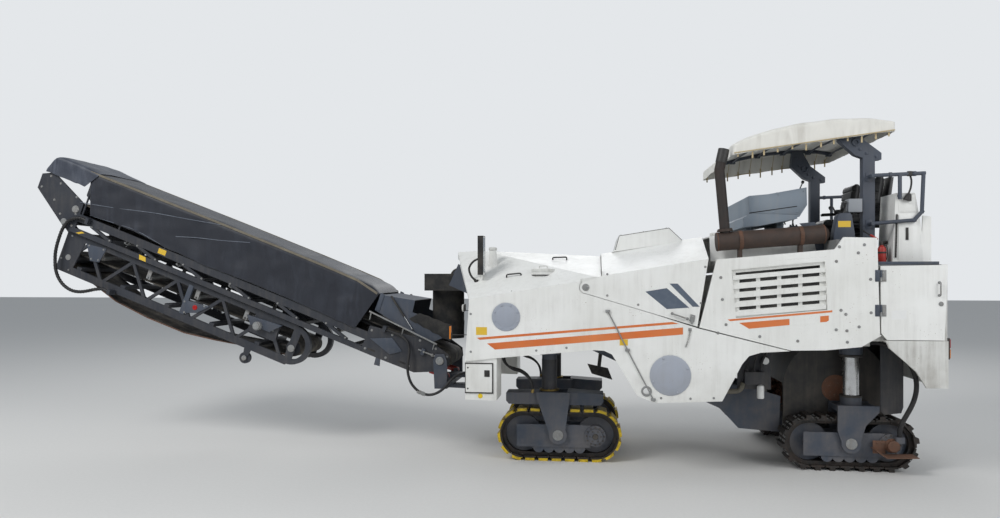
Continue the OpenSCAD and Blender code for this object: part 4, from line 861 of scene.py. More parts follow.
def swell(obj, limit):
    """Lets the pad fill like a stuffed cover, each point moving no further than limit."""
    rest = [v.co.copy() for v in obj.data.vertices]
    cloth = obj.modifiers.new("fill", "CLOTH")
    cloth.settings.quality = 5
    cloth.settings.mass = 0.3
    cloth.settings.use_pressure = True
    cloth.settings.uniform_pressure_force = 4
    cloth.settings.effector_weights.gravity = 0
    cloth.collision_settings.use_collision = False
    scene = bpy.context.scene
    for frame_number in range(1, 21):
        scene.frame_set(frame_number)
    shaped = obj.evaluated_get(bpy.context.evaluated_depsgraph_get()).to_mesh()
    moved = [v.co.copy() for v in shaped.vertices]
    obj.modifiers.remove(cloth)
    scene.frame_set(1)
    for v, a, b in zip(obj.data.vertices, rest, moved):
        step = b - a
        v.co = a + step * min(1, limit / max(step.length, 1e-9))


def apply_all(obj):
    mesh = bpy.data.meshes.new_from_object(obj.evaluated_get(bpy.context.evaluated_depsgraph_get()))
    obj.modifiers.clear()
    old = obj.data
    obj.data = mesh
    bpy.data.meshes.remove(old)


def pad_shape(low, high, channels):
    """A pad on the z plane with sewn channels across x, as a finished mesh in its own place."""
    bm = bmesh.new()
    block(bm, low, high)
    bmesh.ops.bevel(
        bm, geom=list(bm.edges), offset=0.028, offset_type="OFFSET", affect="EDGES", segments=4, profile=0.5,
        material=-1, clamp_overlap=True,
    )
    mesh = bpy.data.meshes.new("pad")
    bm.to_mesh(mesh)
    bm.free()
    obj = bpy.data.objects.new("pad", mesh)
    bpy.context.collection.objects.link(obj)
    cells = obj.modifiers.new("cells", "REMESH")
    cells.mode = "VOXEL"
    cells.voxel_size = 0.006
    apply_all(obj)
    swell(obj, 0.014)
    soft = obj.modifiers.new("round", "SUBSURF")
    soft.levels = soft.render_levels = 1
    apply_all(obj)
    middle = (low[2] + high[2]) / 2
    for v in obj.data.vertices:
        for c in channels:
            if v.co.z > middle:
                v.co.z -= 0.009 * math.exp(-(((v.co.x - c) / 0.007) ** 2))
    mesh = obj.data
    bpy.data.objects.remove(obj)
    return mesh


def pad_piece(name, mesh, place):
    bm = bmesh.new()
    bm.from_mesh(mesh)
    obj = piece(name, bm, VINYL, "machine", MACHINE @ place, smooth=2.0)
    return obj


base_mesh = pad_shape((-0.2, -0.212, 0.008), (0.2, 0.212, 0.088), (-0.1, 0.0, 0.1))
back_mesh = pad_shape((-0.2, -0.205, 0.008), (0.2, 0.205, 0.07), (-0.11, -0.02, 0.07))
bm = bmesh.new()
FLOOR_Z = 2.0906
SEAT_X = 3.15
for y, side in ((-0.35, "left"), (0.35, "right")):
    pad_piece(f"seat_cushion_{side}", base_mesh, Matrix.Translation((SEAT_X - 0.01, y, 2.522)))
    upright = Matrix.Translation((3.325, y, 2.825)) @ Matrix.Rotation(math.radians(-82), 4, "Y")
    pad_piece(f"seat_back_{side}", back_mesh, upright @ Matrix.Rotation(math.pi, 4, "Z"))
    # Pan, backrest shell, armrests, slide rails, bellows and foot of each seat
    block(bm, (2.95, y - 0.215, 2.505), (3.345, y + 0.215, 2.528))
    slab(bm, [(3.345, 2.52), (3.375, 2.52), (3.435, 3.0), (3.405, 3.01), (3.36, 2.7)], y - 0.19, y + 0.19)
    for m in (-1, 1):
        slab(
            bm,
            [(3.05, 2.69), (3.30, 2.70), (3.33, 2.735), (3.06, 2.725), (3.04, 2.71)],
            y + m * 0.225, y + m * 0.262,
        )
        rod(bm, (3.35, y + m * 0.19, 2.715), (3.35, y + m * 0.262, 2.715), 0.012)
        block(bm, (2.98, y + m * 0.14 - 0.014, 2.482), (3.34, y + m * 0.14 + 0.014, 2.506))
    for k in range(7):
        turned(
            bm,
            [(0, 0), (0.135, 0), (0.155, 0.018), (0.135, 0.036), (0, 0.036)],
            (SEAT_X - 0.03, y, 2.22 + 0.037 * k), UP, 20,
        )
    block(bm, (3.02, y - 0.16, FLOOR_Z), (3.26, y + 0.16, 2.105))
    rod(bm, (SEAT_X - 0.03, y, 2.1), (SEAT_X - 0.03, y, 2.225), 0.075)
frames = piece("seat_frames", bm, PLASTIC, "machine", bevel=0.003)
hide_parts("seat")

# Steering desks at both edges of the platform
bm = bmesh.new()
DESK = [
    (2.705, FLOOR_Z), (2.705, 2.4), (2.74, 2.575), (2.765, 2.598), (2.85, 2.602), (2.872, 2.58), (2.9, 2.4),
    (2.9, FLOOR_Z),
]
for m, side in SIDES:
    slab(bm, DESK, m * 0.89, m * 1.01)
desks = piece("steering_desks", bm, SLATE, "machine", bevel=0.006)
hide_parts("seat")
bm = bmesh.new()
for m, side in SIDES:
    for k in range(3):
        turned(
            bm,
            [(0, 0), (0.018, 0), (0.018, 0.004), (0.010, 0.008), (0.010, 0.02), (0, 0.02)],
            (2.78 + 0.035 * k, m * 0.93, 2.6), UP, 16,
        )
    turned(
        bm,
        [
            (0, 0), (0.022, 0), (0.013, 0.02), (0.008, 0.05), (0.011, 0.085), (0.019, 0.1), (0.015, 0.118),
            (0, 0.122),
        ],
        (2.82, m * 0.975, 2.6), UP, 20,
    )
    bent(
        bm,
        [(2.715, m * 0.905, 2.62), (2.69, m * 0.905, 2.66), (2.69, m * 0.995, 2.66), (2.715, m * 0.995, 2.62)],
        0.008,
    )
piece("steering_switches", bm, PLASTIC, "machine")
bm = bmesh.new()
slab(bm, [(2.742, 2.46), (2.742, 2.52), (2.86, 2.52), (2.86, 2.46)], -1.0108, -1.009)
piece("desk_sticker", bm, STICKER_YELLOW, "machine")

# ---------------------------------------------------------------- small parts of the machine


def corners(x1, z1, x2, z2):
    return [(x1, z1), (x2, z1), (x2, z2), (x1, z2)]


def face_plate(bm, points, m, face, t):
    """Flat plate on a side face, sunk into it a little; m is the side, face its distance from the middle."""
    slab(bm, points, m * (face - 0.0008), m * (face + t))


def cap(bm, x, z, r, m, face, h, edge=0.93):
    """Round lid with a rounded rim on a side face."""
    profile = [(0, -0.001), (r, -0.001), (r, h * 0.55), (r * edge, h), (0, h)]
    turned(bm, profile, (x, m * face, z), (0, m, 0))


def around(n, x, z, r, turn=0.0):
    return [
        (x + r * math.cos(turn + math.tau * k / n), z + r * math.sin(turn + math.tau * k / n))
        for k in range(n)
    ]


def side_bolts(bm, places, m, face, r=0.009, h=0.007):
    for x, z in places:
        bolt(bm, (x, m * face, z), (0, m, 0), r, h)


def handle(bm, a, b, up, r=0.008):
    """Grab bar with a foot at both ends."""
    a, b, up = Vector(a), Vector(b), Vector(up)
    d = (b - a).normalized() * up.length * 0.3
    near = [a, a + up * 0.72, a + up * 0.93 + d * 0.3, a + up + d]
    far = [b + up - d, b + up * 0.93 - d * 0.3, b + up * 0.72, b]
    pipe(bm, near + far, r)
    for p in (a, b):
        rod(bm, p - up * 0.03, p + up * 0.12, r * 1.9)


def deck_top(x, y):
    """Height of the sloping roof over the storage tanks."""
    edge, ridge = 1.75 + (x + 0.88) * 0.16116, 2.27 - 0.07 * (x + 0.88) / 1.32
    flat = 0.30 + 0.12 * (x + 0.88) / 1.32
    return edge + min((HALF_W - abs(y)) / (HALF_W - flat), 1) * (ridge - edge)


# Rear doors' hinges: heights of the leaves and the place of their axis
HINGES = ((1.928, 2.038), (1.60, 1.71))
HINGE_X, HINGE_Y = 3.054, 1.252
# Crawlers: middle planes and the columns that carry them
FRONT_Y = 0.535
REAR_Y = {-1: -0.59, 1: 1.082}
FRONT_COLUMN_X, REAR_COLUMN_X = -0.11, 2.995
ROUND_LAMP = 1.65  # height of the round lamp, which stands 1 m from the middle
REAR_BOLTS = [
    (2.679, 2.258), (2.904, 2.276), (2.652, 2.12), (1.586, 1.967), (1.601, 1.754), (1.635, 1.512), (2.694, 1.656),
    (2.737, 1.618), (2.965, 1.634), (2.857, 1.5), (2.751, 1.354), (2.65, 1.471), (2.747, 1.462), (2.96, 1.95),
    (2.85, 2.2), (1.56, 1.43), (2.3, 1.36), (1.95, 1.4),
]
for m, side in SIDES:
    # Stripes, plain marks on the hood and blank stickers
    bm = bmesh.new()
    for points in (
        [(-0.8, 1.362), (-0.769, 1.341), (1.19, 1.517), (1.126, 1.534)],
        [(-0.695, 1.305), (-0.614, 1.245), (1.229, 1.413), (1.229, 1.481)],
        [(1.65, 1.562), (2.615, 1.656), (2.615, 1.637), (1.672, 1.546)],
        [(1.757, 1.53), (2.224, 1.572), (2.224, 1.513), (1.85, 1.474)],
        [(2.505, 1.598), (2.583, 1.606), (2.583, 1.56), (2.563, 1.546), (2.505, 1.541)],
    ):
        face_plate(bm, points, m, HALF_W, 0.0012)
    piece(f"stripes_{side}", bm, ORANGE, "machine")
    bm = bmesh.new()
    for points in (
        [(0.869, 1.829), (1.074, 1.864), (1.287, 1.674), (1.074, 1.659)],
        [(1.1, 1.908), (1.177, 1.908), (1.388, 1.683), (1.321, 1.683)],
    ):
        face_plate(bm, points, m, HALF_W, 0.0012)
    piece(f"hood_marks_{side}", bm, SLATE_FOIL, "hood")
    bm = bmesh.new()
    face_plate(bm, corners(-0.806, 1.39, -0.695, 1.469), m, HALF_W, 0.001)
    face_plate(bm, corners(0.62, 1.30, 0.70, 1.36), m, HALF_W, 0.001)
    piece(f"side_stickers_{side}", bm, STICKER_YELLOW, "machine")
    bm = bmesh.new()
    face_plate(bm, [(3.147, 1.568), (3.28, 1.58), (3.28, 1.664), (3.147, 1.652)], m, HALF_W, 0.001)
    piece(f"door_sticker_{side}", bm, STICKER_WHITE, f"rear_door_{side}")

    # Round bolted covers in their seats
    bm = bmesh.new()
    for x, z, r, n, circle in ((-0.503, 1.572, 0.143, 8, 0.122), (1.109, 1.012, 0.198, 4, 0.178)):
        cap(bm, x, z, r, m, 1.2475, 0.006, 0.975)
        cap(bm, x, z, r * 0.72, m, 1.2525, 0.003, 0.97)
        side_bolts(bm, around(n, x, z, circle, 0.39), m, 1.2535, 0.0085, 0.006)
    piece(f"round_covers_{side}", bm, COVER, "machine", bevel=0.0012)

    # Panel bolts of the rear side walls and the skirt
    bm = bmesh.new()
    side_bolts(bm, REAR_BOLTS, m, HALF_W, 0.01, 0.007)
    side_bolts(
        bm,
        [(1.02, 0.79), (1.3, 0.79), (1.52, 0.8), (-0.86, 1.22), (-0.86, 1.6), (-0.2, 1.24), (0.1, 1.27)],
        m, HALF_W, 0.008, 0.006,
    )
    piece(f"panel_bolts_{side}", bm, STEEL, "machine")

    # Painted shade: dark plates behind the louvre's slats, four to a row, darken the gaps between them
    bm = bmesh.new()
    for row in range(4):
        for hole in range(4):
            x = 1.765 + hole * 0.195
            z = 1.634 + row * 0.088 + (x - 1.7) * 0.0905
            gap = [(x, z + 0.012), (x + 0.155, z + 0.026), (x + 0.155, z + 0.0575), (x, z + 0.0435)]
            slab(bm, gap, m * (HALF_W - 0.0235), m * (HALF_W - 0.0255))
    piece(f"louvre_gap_shade_{side}", bm, RUBBER, "machine")

    # Prop rod clamped to the side wall, lashing eye and the retaining chain of the hood
    bm = bmesh.new()
    y = m * 1.258
    bent(bm, [(0.501, y, 1.644), (0.60, y, 1.45), (0.696, y, 1.257), (0.83, y, 0.998), (0.955, y, 0.757)], 0.0065)
    for x, z in ((0.505, 1.636), (0.696, 1.257), (0.945, 0.775)):
        face_plate(bm, corners(x - 0.022, z - 0.013, x + 0.022, z + 0.013), m, HALF_W, 0.0175)
    turned(
        bm,
        [
            (0.032, -0.005), (0.052, -0.005), (0.052, 0.006), (0.046, 0.01), (0.036, 0.01), (0.032, 0.006),
            (0.032, -0.005),
        ],
        (0.88, m * HALF_W, 0.855), (0, m, 0),
    )
    links = curve_through(
        [(1.295, m * 1.256, 1.452), (1.288, m * 1.256, 1.40), (1.268, m * 1.256, 1.33), (1.253, m * 1.256, 1.292)],
        4,
    )
    for k, (a, b) in enumerate(zip(links, links[1:])):
        d, mid = (b - a) * 0.62, (a + b) / 2
        wide = Vector((0.0065, 0, 0.001)) if k % 2 else Vector((0, 0.0055, 0))
        half = d * 0.5
        link = [mid - d, mid - half + wide, mid + half + wide, mid + d, mid + half - wide, mid - half - wide]
        pipe(bm, link, 0.0024, 1, True)
    face_plate(bm, corners(1.28, 1.445, 1.31, 1.475), m, HALF_W, 0.006)
    piece(f"side_fittings_{side}", bm, STEEL, "machine", bevel=0.001)

    # Hood: handle, over-centre latch and pivot cap
    bm = bmesh.new()
    handle(bm, (1.126, m * HALF_W, 1.616), (1.27, m * HALF_W, 1.566), (0, m * 0.034, 0), 0.0075)
    cap(bm, 0.29, 1.87, 0.036, m, HALF_W, 0.009, 0.8)
    bolt(bm, (0.29, m * 1.258, 1.87), (0, m, 0), 0.012, 0.009)
    face_plate(bm, [(1.30, 1.612), (1.345, 1.60), (1.335, 1.535), (1.29, 1.547)], m, HALF_W, 0.009)
    face_plate(bm, [(1.309, 1.597), (1.335, 1.59), (1.321, 1.512), (1.303, 1.517)], m, 1.259, 0.007)
    side_bolts(bm, [(0.50, 2.0), (0.50, 1.79), (0.80, 1.70), (1.44, 2.07), (1.40, 1.72)], m, HALF_W, 0.008, 0.006)
    piece(f"hood_fittings_{side}", bm, STEEL, "hood", bevel=0.001)

    # Storage box: seal round the door, hinge, paddle latch; the yellow disc under it
    bm = bmesh.new()
    x1, z1, x2, z2 = -0.9155, 0.807, -0.6375, 1.103
    rim = [(x1, z1), (x2, z1), (x2, z2), (x1, z2)]
    for (ax, az), (bx, bz) in zip(rim, rim[1:] + rim[:1]):
        low, high = (min(ax, bx) - 0.004, min(az, bz) - 0.004), (max(ax, bx) + 0.004, max(az, bz) + 0.004)
        face_plate(bm, corners(*low, *high), m, 1.2362, 0.009)
    piece(f"storage_seal_{side}", bm, RUBBER, "machine", bevel=0.0015)
    bm = bmesh.new()
    face_plate(bm, corners(-0.722, 0.97, -0.668, 1.036), m, HALF_W, 0.004)
    face_plate(bm, corners(-0.71, 0.978, -0.68, 1.028), m, 1.254, 0.006)
    side_bolts(bm, [(-0.89, 0.85), (-0.89, 1.06)], m, HALF_W, 0.006, 0.004)
    piece(f"storage_latch_{side}", bm, BLACK_PAINT, f"storage_door_{side}", bevel=0.0012)
    bm = bmesh.new()
    cap(bm, -0.765, 0.775, 0.024, m, 1.2362, 0.004)
    piece(f"yellow_disc_{side}", bm, YELLOW, "machine")

    # Rear door: hinges with their leaves, and the lock
    bm = bmesh.new()
    for z1, z2 in HINGES:
        face_plate(bm, corners(3.0, z1, 3.042, z2), m, HALF_W, 0.004)
        rod(bm, (HINGE_X, m * HINGE_Y, z1 + (z2 - z1) * 0.36), (HINGE_X, m * HINGE_Y, z2), 0.009)
        side_bolts(bm, [(3.015, z1 + 0.02), (3.015, z2 - 0.02)], m, 1.254, 0.0055, 0.004)
    piece(f"hinge_leaves_{side}", bm, SLATE, "machine", bevel=0.001)
    bm = bmesh.new()
    for z1, z2 in HINGES:
        face_plate(bm, corners(3.066, z1, 3.1, z2), m, HALF_W, 0.004)
        rod(bm, (HINGE_X, m * HINGE_Y, z1 + (z2 - z1) * 0.33), (HINGE_X, m * HINGE_Y, z1), 0.009)
        side_bolts(bm, [(3.085, z1 + 0.02), (3.085, z2 - 0.02)], m, 1.254, 0.0055, 0.004)
    cap(bm, 3.585, 1.72, 0.022, m, HALF_W, 0.006)
    cap(bm, 3.585, 1.72, 0.011, m, 1.255, 0.006, 0.8)
    handle(bm, (3.57, m * HALF_W, 1.80), (3.57, m * HALF_W, 1.92), (0, m * 0.03, 0), 0.007)
    piece(f"rear_door_fittings_{side}", bm, STEEL, f"rear_door_{side}", bevel=0.001)

    # Amber side lamp and red round lamp on brackets ahead of the corner
    bm = bmesh.new()
    block(bm, (-1.085, m * 1.1 - 0.015, 1.375), (-0.87, m * 1.1 + 0.015, 1.381))
    block(bm, (-1.088, m * 1.1 - 0.022, 1.33), (-1.082, m * 1.1 + 0.022, 1.40))
    block(bm, (-0.96, m * 1.0 - 0.02, 1.62), (-0.86, m * 1.0 + 0.02, 1.626))
    block(bm, (-0.962, m * 1.0 - 0.03, 1.62), (-0.956, m * 1.0 + 0.03, 1.69))
    rod(bm, (-0.962, m, ROUND_LAMP), (-0.974, m, ROUND_LAMP), 0.038)
    piece(f"lamp_brackets_{side}", bm, BLACK_PAINT, "machine", bevel=0.0012)
    bm = bmesh.new()
    block(bm, (-1.104, m * 1.1 - 0.026, 1.334), (-1.0885, m * 1.1 + 0.026, 1.467))
    piece(f"side_lamp_{side}", bm, AMBER, "machine", bevel=0.006, segments=4)
    bm = bmesh.new()
    turned(
        bm,
        [(0.028, 0), (0.038, 0), (0.038, 0.012), (0.034, 0.016), (0.029, 0.014), (0.028, 0)],
        (-0.9735, m, ROUND_LAMP), AHEAD,
    )
    piece(f"lamp_rim_{side}", bm, PALE, "machine")
    bm = bmesh.new()
    turned(
        bm,
        [(0, -0.001), (0.0285, -0.001), (0.0285, 0.009), (0.022, 0.013), (0.012, 0.0155), (0, 0.0165)],
        (-0.9735, m, ROUND_LAMP), AHEAD,
    )
    piece(f"round_lamp_{side}", bm, RED_LENS, "machine")

    # Rear lamps on the tank's back face
    bm = bmesh.new()
    y = m * 1.19
    block(bm, (3.6495, y - 0.042, 1.20), (3.672, y + 0.042, 1.40))
    piece(f"rear_lamp_box_{side}", bm, BLACK_PAINT, "machine", bevel=0.003)
    for name, low, high, finish in (("rear_lamp", 1.305, 1.39, RED_LENS), ("turn_lamp", 1.21, 1.295, AMBER)):
        bm = bmesh.new()
        block(bm, (3.671, y - 0.035, low), (3.682, y + 0.035, high))
        piece(f"{name}_{side}", bm, finish, "machine", bevel=0.005, segments=3)

    # Pivot discs of the yokes, bolt rings of the final drives
    for x, y, body in ((-0.01, FRONT_Y, f"front_crawler_{side}"), (2.95, abs(REAR_Y[m]), "machine")):
        out = y + 0.167
        bm = bmesh.new()
        cap(bm, x, 0.285, 0.056, m, out, 0.006)
        side_bolts(bm, around(8, x, 0.285, 0.042), m, out + 0.005, 0.0055, 0.004)
        cap(bm, x, 0.285, 0.018, m, out + 0.005, 0.005)
        piece(f"{'front' if x < 1 else 'rear'}_pin_{side}", bm, STEEL, body)
        hub = x + (0.395 if x < 1 else 0.385)
        bm = bmesh.new()
        side_bolts(bm, around(12, hub, 0.28, 0.094), m, y + 0.142, 0.0065, 0.006)
        side_bolts(bm, around(6, hub, 0.28, 0.058), m, y + 0.16, 0.006, 0.005)
        cap(bm, hub, 0.28, 0.03, m, y + 0.16, 0.012, 0.85)
        piece(f"{'front' if x < 1 else 'rear'}_hub_bolts_{side}", bm, BLACK_PAINT, body)

    # Hoses from the frame to the front crawler's steering and drive
    for k, dy in enumerate((0.0, 0.036)):
        y = 0.655 + dy
        route = [
            (-0.61 + k * 0.03, m * y, 1.222), (-0.612 + k * 0.028, m * y, 1.15), (-0.6 + k * 0.02, m * y, 1.075),
            (-0.555 + k * 0.01, m * y, 1.018), (-0.485, m * (y - 0.004), 0.99 - k * 0.012),
            (-0.41, m * (y - 0.01), 0.968 - k * 0.014),
            (-0.345, m * (y - 0.016), 0.922 - k * 0.012), (-0.305, m * (y - 0.02), 0.86),
            (-0.288, m * (y - 0.022), 0.795),
            (-0.284, m * (y - 0.022), 0.734),
        ]
        obj = hose(f"leg_hose_{side}_{k + 1}", [Vector(p) for p in route], 0.012, MACHINE, far_end="object")
        start, end = (tuple(MACHINE @ Vector(route[i])) for i in (2, 7))
        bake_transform(obj)
        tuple(start)
        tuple(end)
    bm = bmesh.new()
    for k in range(2):
        x, y = -0.61 + k * 0.03, m * (0.655 + k * 0.036)
        rod(bm, (x, y, 1.2255), (x, y, 1.195), 0.0165, sides=6)
    piece(f"hose_unions_{side}", bm, BRASS, "machine", bevel=0.001)
    bm = bmesh.new()
    for k in range(2):
        y = m * (0.633 + k * 0.036)
        rod(bm, (-0.284, y, 0.7315), (-0.284, y, 0.765), 0.0165, sides=6)
    # Clamp rings of the column's lower end
    turned(
        bm,
        [(0.081, 0), (0.107, 0), (0.107, 0.016), (0.1, 0.02), (0.081, 0.02), (0.081, 0)],
        (FRONT_COLUMN_X, m * FRONT_Y, 0.7405), UP,
    )
    for a, b in around(8, FRONT_COLUMN_X, m * FRONT_Y, 0.094):
        bolt(bm, (a, b, 0.76), (0, 0, 1), 0.006, 0.006)
    piece(f"front_unions_{side}", bm, BRASS, f"front_crawler_{side}", bevel=0.001)

    # Lifting columns: dark front sleeve, worn chrome behind
    bm = bmesh.new()
    turned(bm, ring(0.0805, 0.0825, 0.32), (FRONT_COLUMN_X, m * FRONT_Y, 0.761), UP, 40)
    piece(f"front_column_{side}", bm, DARK, f"front_crawler_{side}")
    y = REAR_Y[m]
    bm = bmesh.new()
    turned(bm, ring(0.0805, 0.0822, 0.432), (REAR_COLUMN_X, y, 0.7455), UP, 40)
    piece(f"rear_column_{side}", bm, CHROME, "machine")
    bm = bmesh.new()
    turned(
        bm,
        [(0.0825, 0), (0.108, 0), (0.112, 0.008), (0.112, 0.022), (0.102, 0.03), (0.0825, 0.03), (0.0825, 0)],
        (REAR_COLUMN_X, y, 1.15), UP,
    )
    turned(
        bm,
        [(0.083, 0), (0.109, 0), (0.109, 0.018), (0.1, 0.022), (0.083, 0.022), (0.083, 0)],
        (REAR_COLUMN_X, y, 0.7405), UP,
    )
    piece(f"column_wiper_{side}", bm, BLACK_PAINT, "machine")

# Roof: handles, tub rim and lid, filler cap, mirror glass with its rubber edge and stay
bm = bmesh.new()
for m in (-1, 1):
    for x1, x2, y in ((-0.53, -0.38, 0.95), (-0.07, 0.08, 0.6)):
        a, b = ((x, m * y, deck_top(x, y)) for x in (x1, x2))
        handle(bm, a, b, (0, m * 0.018, 0.045), 0.008)
piece("deck_handles", bm, BLACK_PAINT, "machine")
bm = bmesh.new()
turned(
    bm,
    [(0, -0.02), (0.1235, -0.02), (0.1235, 0.004), (0.118, 0.011), (0.1, 0.014), (0.03, 0.018), (0, 0.018)],
    (-0.15, -0.93, 2.045), UP, 40,
)
handle(bm, (-0.19, -0.93, 2.061), (-0.11, -0.93, 2.061), (0, 0, 0.026), 0.006)
turned(
    bm,
    [(0, -0.006), (0.042, -0.006), (0.045, 0), (0.045, 0.02), (0.036, 0.03), (0, 0.032)],
    (-0.715, -0.65, 2.265), UP, 32,
)
piece("roof_lids", bm, PALE, "machine", bevel=0.001)
bm = bmesh.new()
turned(bm, ring(0.121, 0.131, 0.01), (-0.15, -0.93, 1.986), UP, 40)
block(bm, (-0.8285, -1.006, 1.995), (-0.77, -1.0, 2.4))
block(bm, (-0.8285, -0.86, 1.995), (-0.77, -0.854, 2.4))
block(bm, (-0.8285, -1.006, 2.395), (-0.77, -0.854, 2.401))
bent(
    bm,
    [(-0.85, -0.93, 1.93), (-0.905, -0.93, 1.98), (-0.93, -0.93, 2.06), (-0.89, -0.93, 2.13), (-0.82, -0.93, 2.17)],
    0.011,
)
rod(bm, (-0.85, -0.93, 1.915), (-0.856, -0.93, 1.942), 0.024)
piece("mirror_edge", bm, RUBBER, "machine")
bm = bmesh.new()
block(bm, (-0.7725, -0.99, 2.02), (-0.7695, -0.87, 2.385))
piece("mirror_glass", bm, GLASS, "machine", bevel=0.001)

# Seams of the roof and of the hood's top, and painted shade in the hood's intake slots
bm = bmesh.new()
for x in (-0.45, 0.02):
    ys = [-1.24, -0.34 - (x + 0.88) * 0.09, 0, 0.34 + (x + 0.88) * 0.09, 1.24]
    pipe(bm, [(x, y, deck_top(x, y) + 0.0005) for y in ys], 0.0022, 1)
piece("roof_seams", bm, RUBBER, "machine")
bm = bmesh.new()
rim = [(0.6, 2.268), (0.64, 2.419), (1.165, 2.499), (1.3, 2.369)]
for m in (-1, 1):
    pipe(bm, [(x, m * 0.5402, z - 0.004) for x, z in rim], 0.003, 1)
    # Painted shade: a dark plate in each of the five intake slots on each side
    for k in range(5):
        x = 0.72 + k * 0.088
        z = 2.419 + (x - 0.64) * 0.1524
        low, high = (x, m * 0.25 - 0.2, z - 0.004), (x + 0.034, m * 0.25 + 0.2, z + 0.0025)
        block(bm, low, high, Matrix.Rotation(-0.151, 4, "Y"))
piece("intake_seam_and_slot_shade", bm, RUBBER, "hood")
bm = bmesh.new()
for x, y in ((0.66, 0.5), (1.14, 0.5), (0.66, -0.5), (1.14, -0.5), (0.9, 0.5), (0.9, -0.5)):
    bolt(bm, (x, y, 2.419 + (x - 0.64) * 0.1524), (-0.15, 0, 1), 0.008, 0.006)
piece("intake_bolts", bm, STEEL, "hood")

# Engine under the hood: valve covers, air pipe, filter, belt drive and fan ring
bm = bmesh.new()
for y in (-0.21, 0.21):
    slab(bm, [(0.62, 2.041), (0.64, 2.09), (1.24, 2.12), (1.27, 2.041)], y - 0.085, y + 0.085)
    for x in (0.7, 0.85, 1.0, 1.15):
        bolt(bm, (x, y, 2.095 + (x - 0.64) * 0.05), (-0.05, 0, 1), 0.009, 0.008)
for x in (0.66, 0.8, 0.94, 1.08, 1.22):
    for m in (-1, 1):
        block(bm, (x - 0.05, m * 0.45 - 0.012, 1.62), (x + 0.05, m * 0.45 + 0.012, 1.92))
        bolt(bm, (x, m * 0.462, 1.88), (0, m, 0), 0.01, 0.008)
piece("engine_covers", bm, GREY_PLASTIC, "machine", bevel=0.006, segments=3)
bm = bmesh.new()
bent(
    bm,
    [(0.6, -0.4, 1.86), (0.7, -0.5, 1.94), (0.9, -0.52, 1.98), (1.1, -0.5, 1.98), (1.25, -0.42, 1.9)],
    0.045, 5,
)
bent(bm, [(0.6, 0.4, 1.8), (0.68, 0.51, 1.76), (0.95, 0.54, 1.72), (1.2, 0.5, 1.76), (1.3, 0.42, 1.84)], 0.03, 4)
turned(bm, [(0, 0), (0.1, 0), (0.11, 0.02), (0.11, 0.34), (0.1, 0.37), (0, 0.37)], (0.75, 0.62, 1.61), BACK)
piece("engine_pipes", bm, RUBBER, "machine")
bm = bmesh.new()
for y, z, r in ((0, 1.68, 0.11), (-0.2, 1.84, 0.07), (0.2, 1.86, 0.065)):
    turned(
        bm,
        [
            (0, 0), (r * 0.9, 0), (r, 0.008), (r * 0.86, 0.022), (r, 0.036), (r * 0.9, 0.044), (r * 0.4, 0.03),
            (0, 0.03),
        ],
        (0.521, y, z), AHEAD, 36,
    )
piece("belt_pulleys", bm, STEEL, "machine")

# Muffler bands, flange and the pipe's open end
axis = Vector((math.sin(math.radians(86)), 0, math.cos(math.radians(86))))
foot = Vector((1.5, -0.95, 2.318))
bm = bmesh.new()
for d in (0.325, 0.905):
    a = foot + axis * (d - 0.018)
    turned(bm, ring(0.0915, 0.0965, 0.036), a, axis, 40)
    block(bm, a + Vector((0, -0.105, -0.025)), a + Vector((0.036, -0.088, 0.03)))
    bolt(bm, a + Vector((0.018, -0.105, 0.002)), (0, -1, 0), 0.009, 0.008)
for d in (0.094, 1.118):
    a = foot + axis * d
    turned(bm, [(0.0915, 0), (0.0955, 0.003), (0.0955, 0.009), (0.0915, 0.012), (0.0915, 0)], a, axis, 40)
piece("muffler_bands", bm, RUST, "machine", bevel=0.001)
bm = bmesh.new()
up = Vector((-math.sin(math.radians(5)), 0, math.cos(math.radians(5))))
a = Vector((1.68, -0.95, 2.38)) + up * 0.048
turned(bm, ring(0.05, 0.078, 0.012), a, up, 32)
turned(bm, ring(0.05, 0.074, 0.0115, 0.0125), a, up, 32)
for k in range(6):
    t = math.tau * k / 6
    side = Vector((0, 1, 0)) * math.cos(t) + up.cross(Vector((0, 1, 0))) * math.sin(t)
    bolt(bm, a + side * 0.065 + up * 0.024, up, 0.006, 0.007)
piece("exhaust_flange", bm, BRONZE, "machine")
bm = bmesh.new()
lean = Vector((math.sin(math.radians(12)), 0, math.cos(math.radians(12))))
a = Vector((1.6242, -0.95, 3.0616)) + lean * 0.06
turned(
    bm,
    [(0.0506, 0), (0.0555, 0), (0.0555, 0.135), (0.0535, 0.139), (0.0475, 0.139), (0.0475, 0.1195), (0, 0.1195)], a,
    lean, 36,
)
piece("exhaust_end", bm, BLACK_PAINT, "machine")

# Under the arch: valve plate with gauge, olive pipe and filter, and the paddle between the crawlers
bm = bmesh.new()
block(bm, (1.86, -0.606, 0.80), (2.2, -0.594, 1.3805))
block(bm, (1.86, -0.65, 1.368), (2.2, -0.55, 1.3805))
block(bm, (1.92, -0.69, 0.86), (2.12, -0.606, 0.99))
for x in (1.95, 2.02, 2.09):
    rod(bm, (x, -0.648, 0.989), (x, -0.648, 1.02), 0.016, sides=6)
turned(
    bm,
    [(0, 0), (0.042, 0), (0.046, 0.006), (0.046, 0.02), (0.04, 0.026), (0, 0.026)],
    (2.138, -0.606, 1.1), LEFT,
)
piece("valve_plate", bm, DARK, "machine", bevel=0.002)
bm = bmesh.new()
bent(bm, [(1.66, -0.62, 0.775), (1.75, -0.63, 0.777), (1.87, -0.64, 0.79), (1.915, -0.648, 0.87)], 0.026, 4)
bent(
    bm,
    [(1.66, -0.62, 0.775), (1.62, -0.6, 0.83), (1.6, -0.56, 0.95), (1.58, -0.5, 1.10), (1.56, -0.47, 1.24)],
    0.026, 4,
)
piece("olive_pipe", bm, OLIVE, "machine")
bm = bmesh.new()
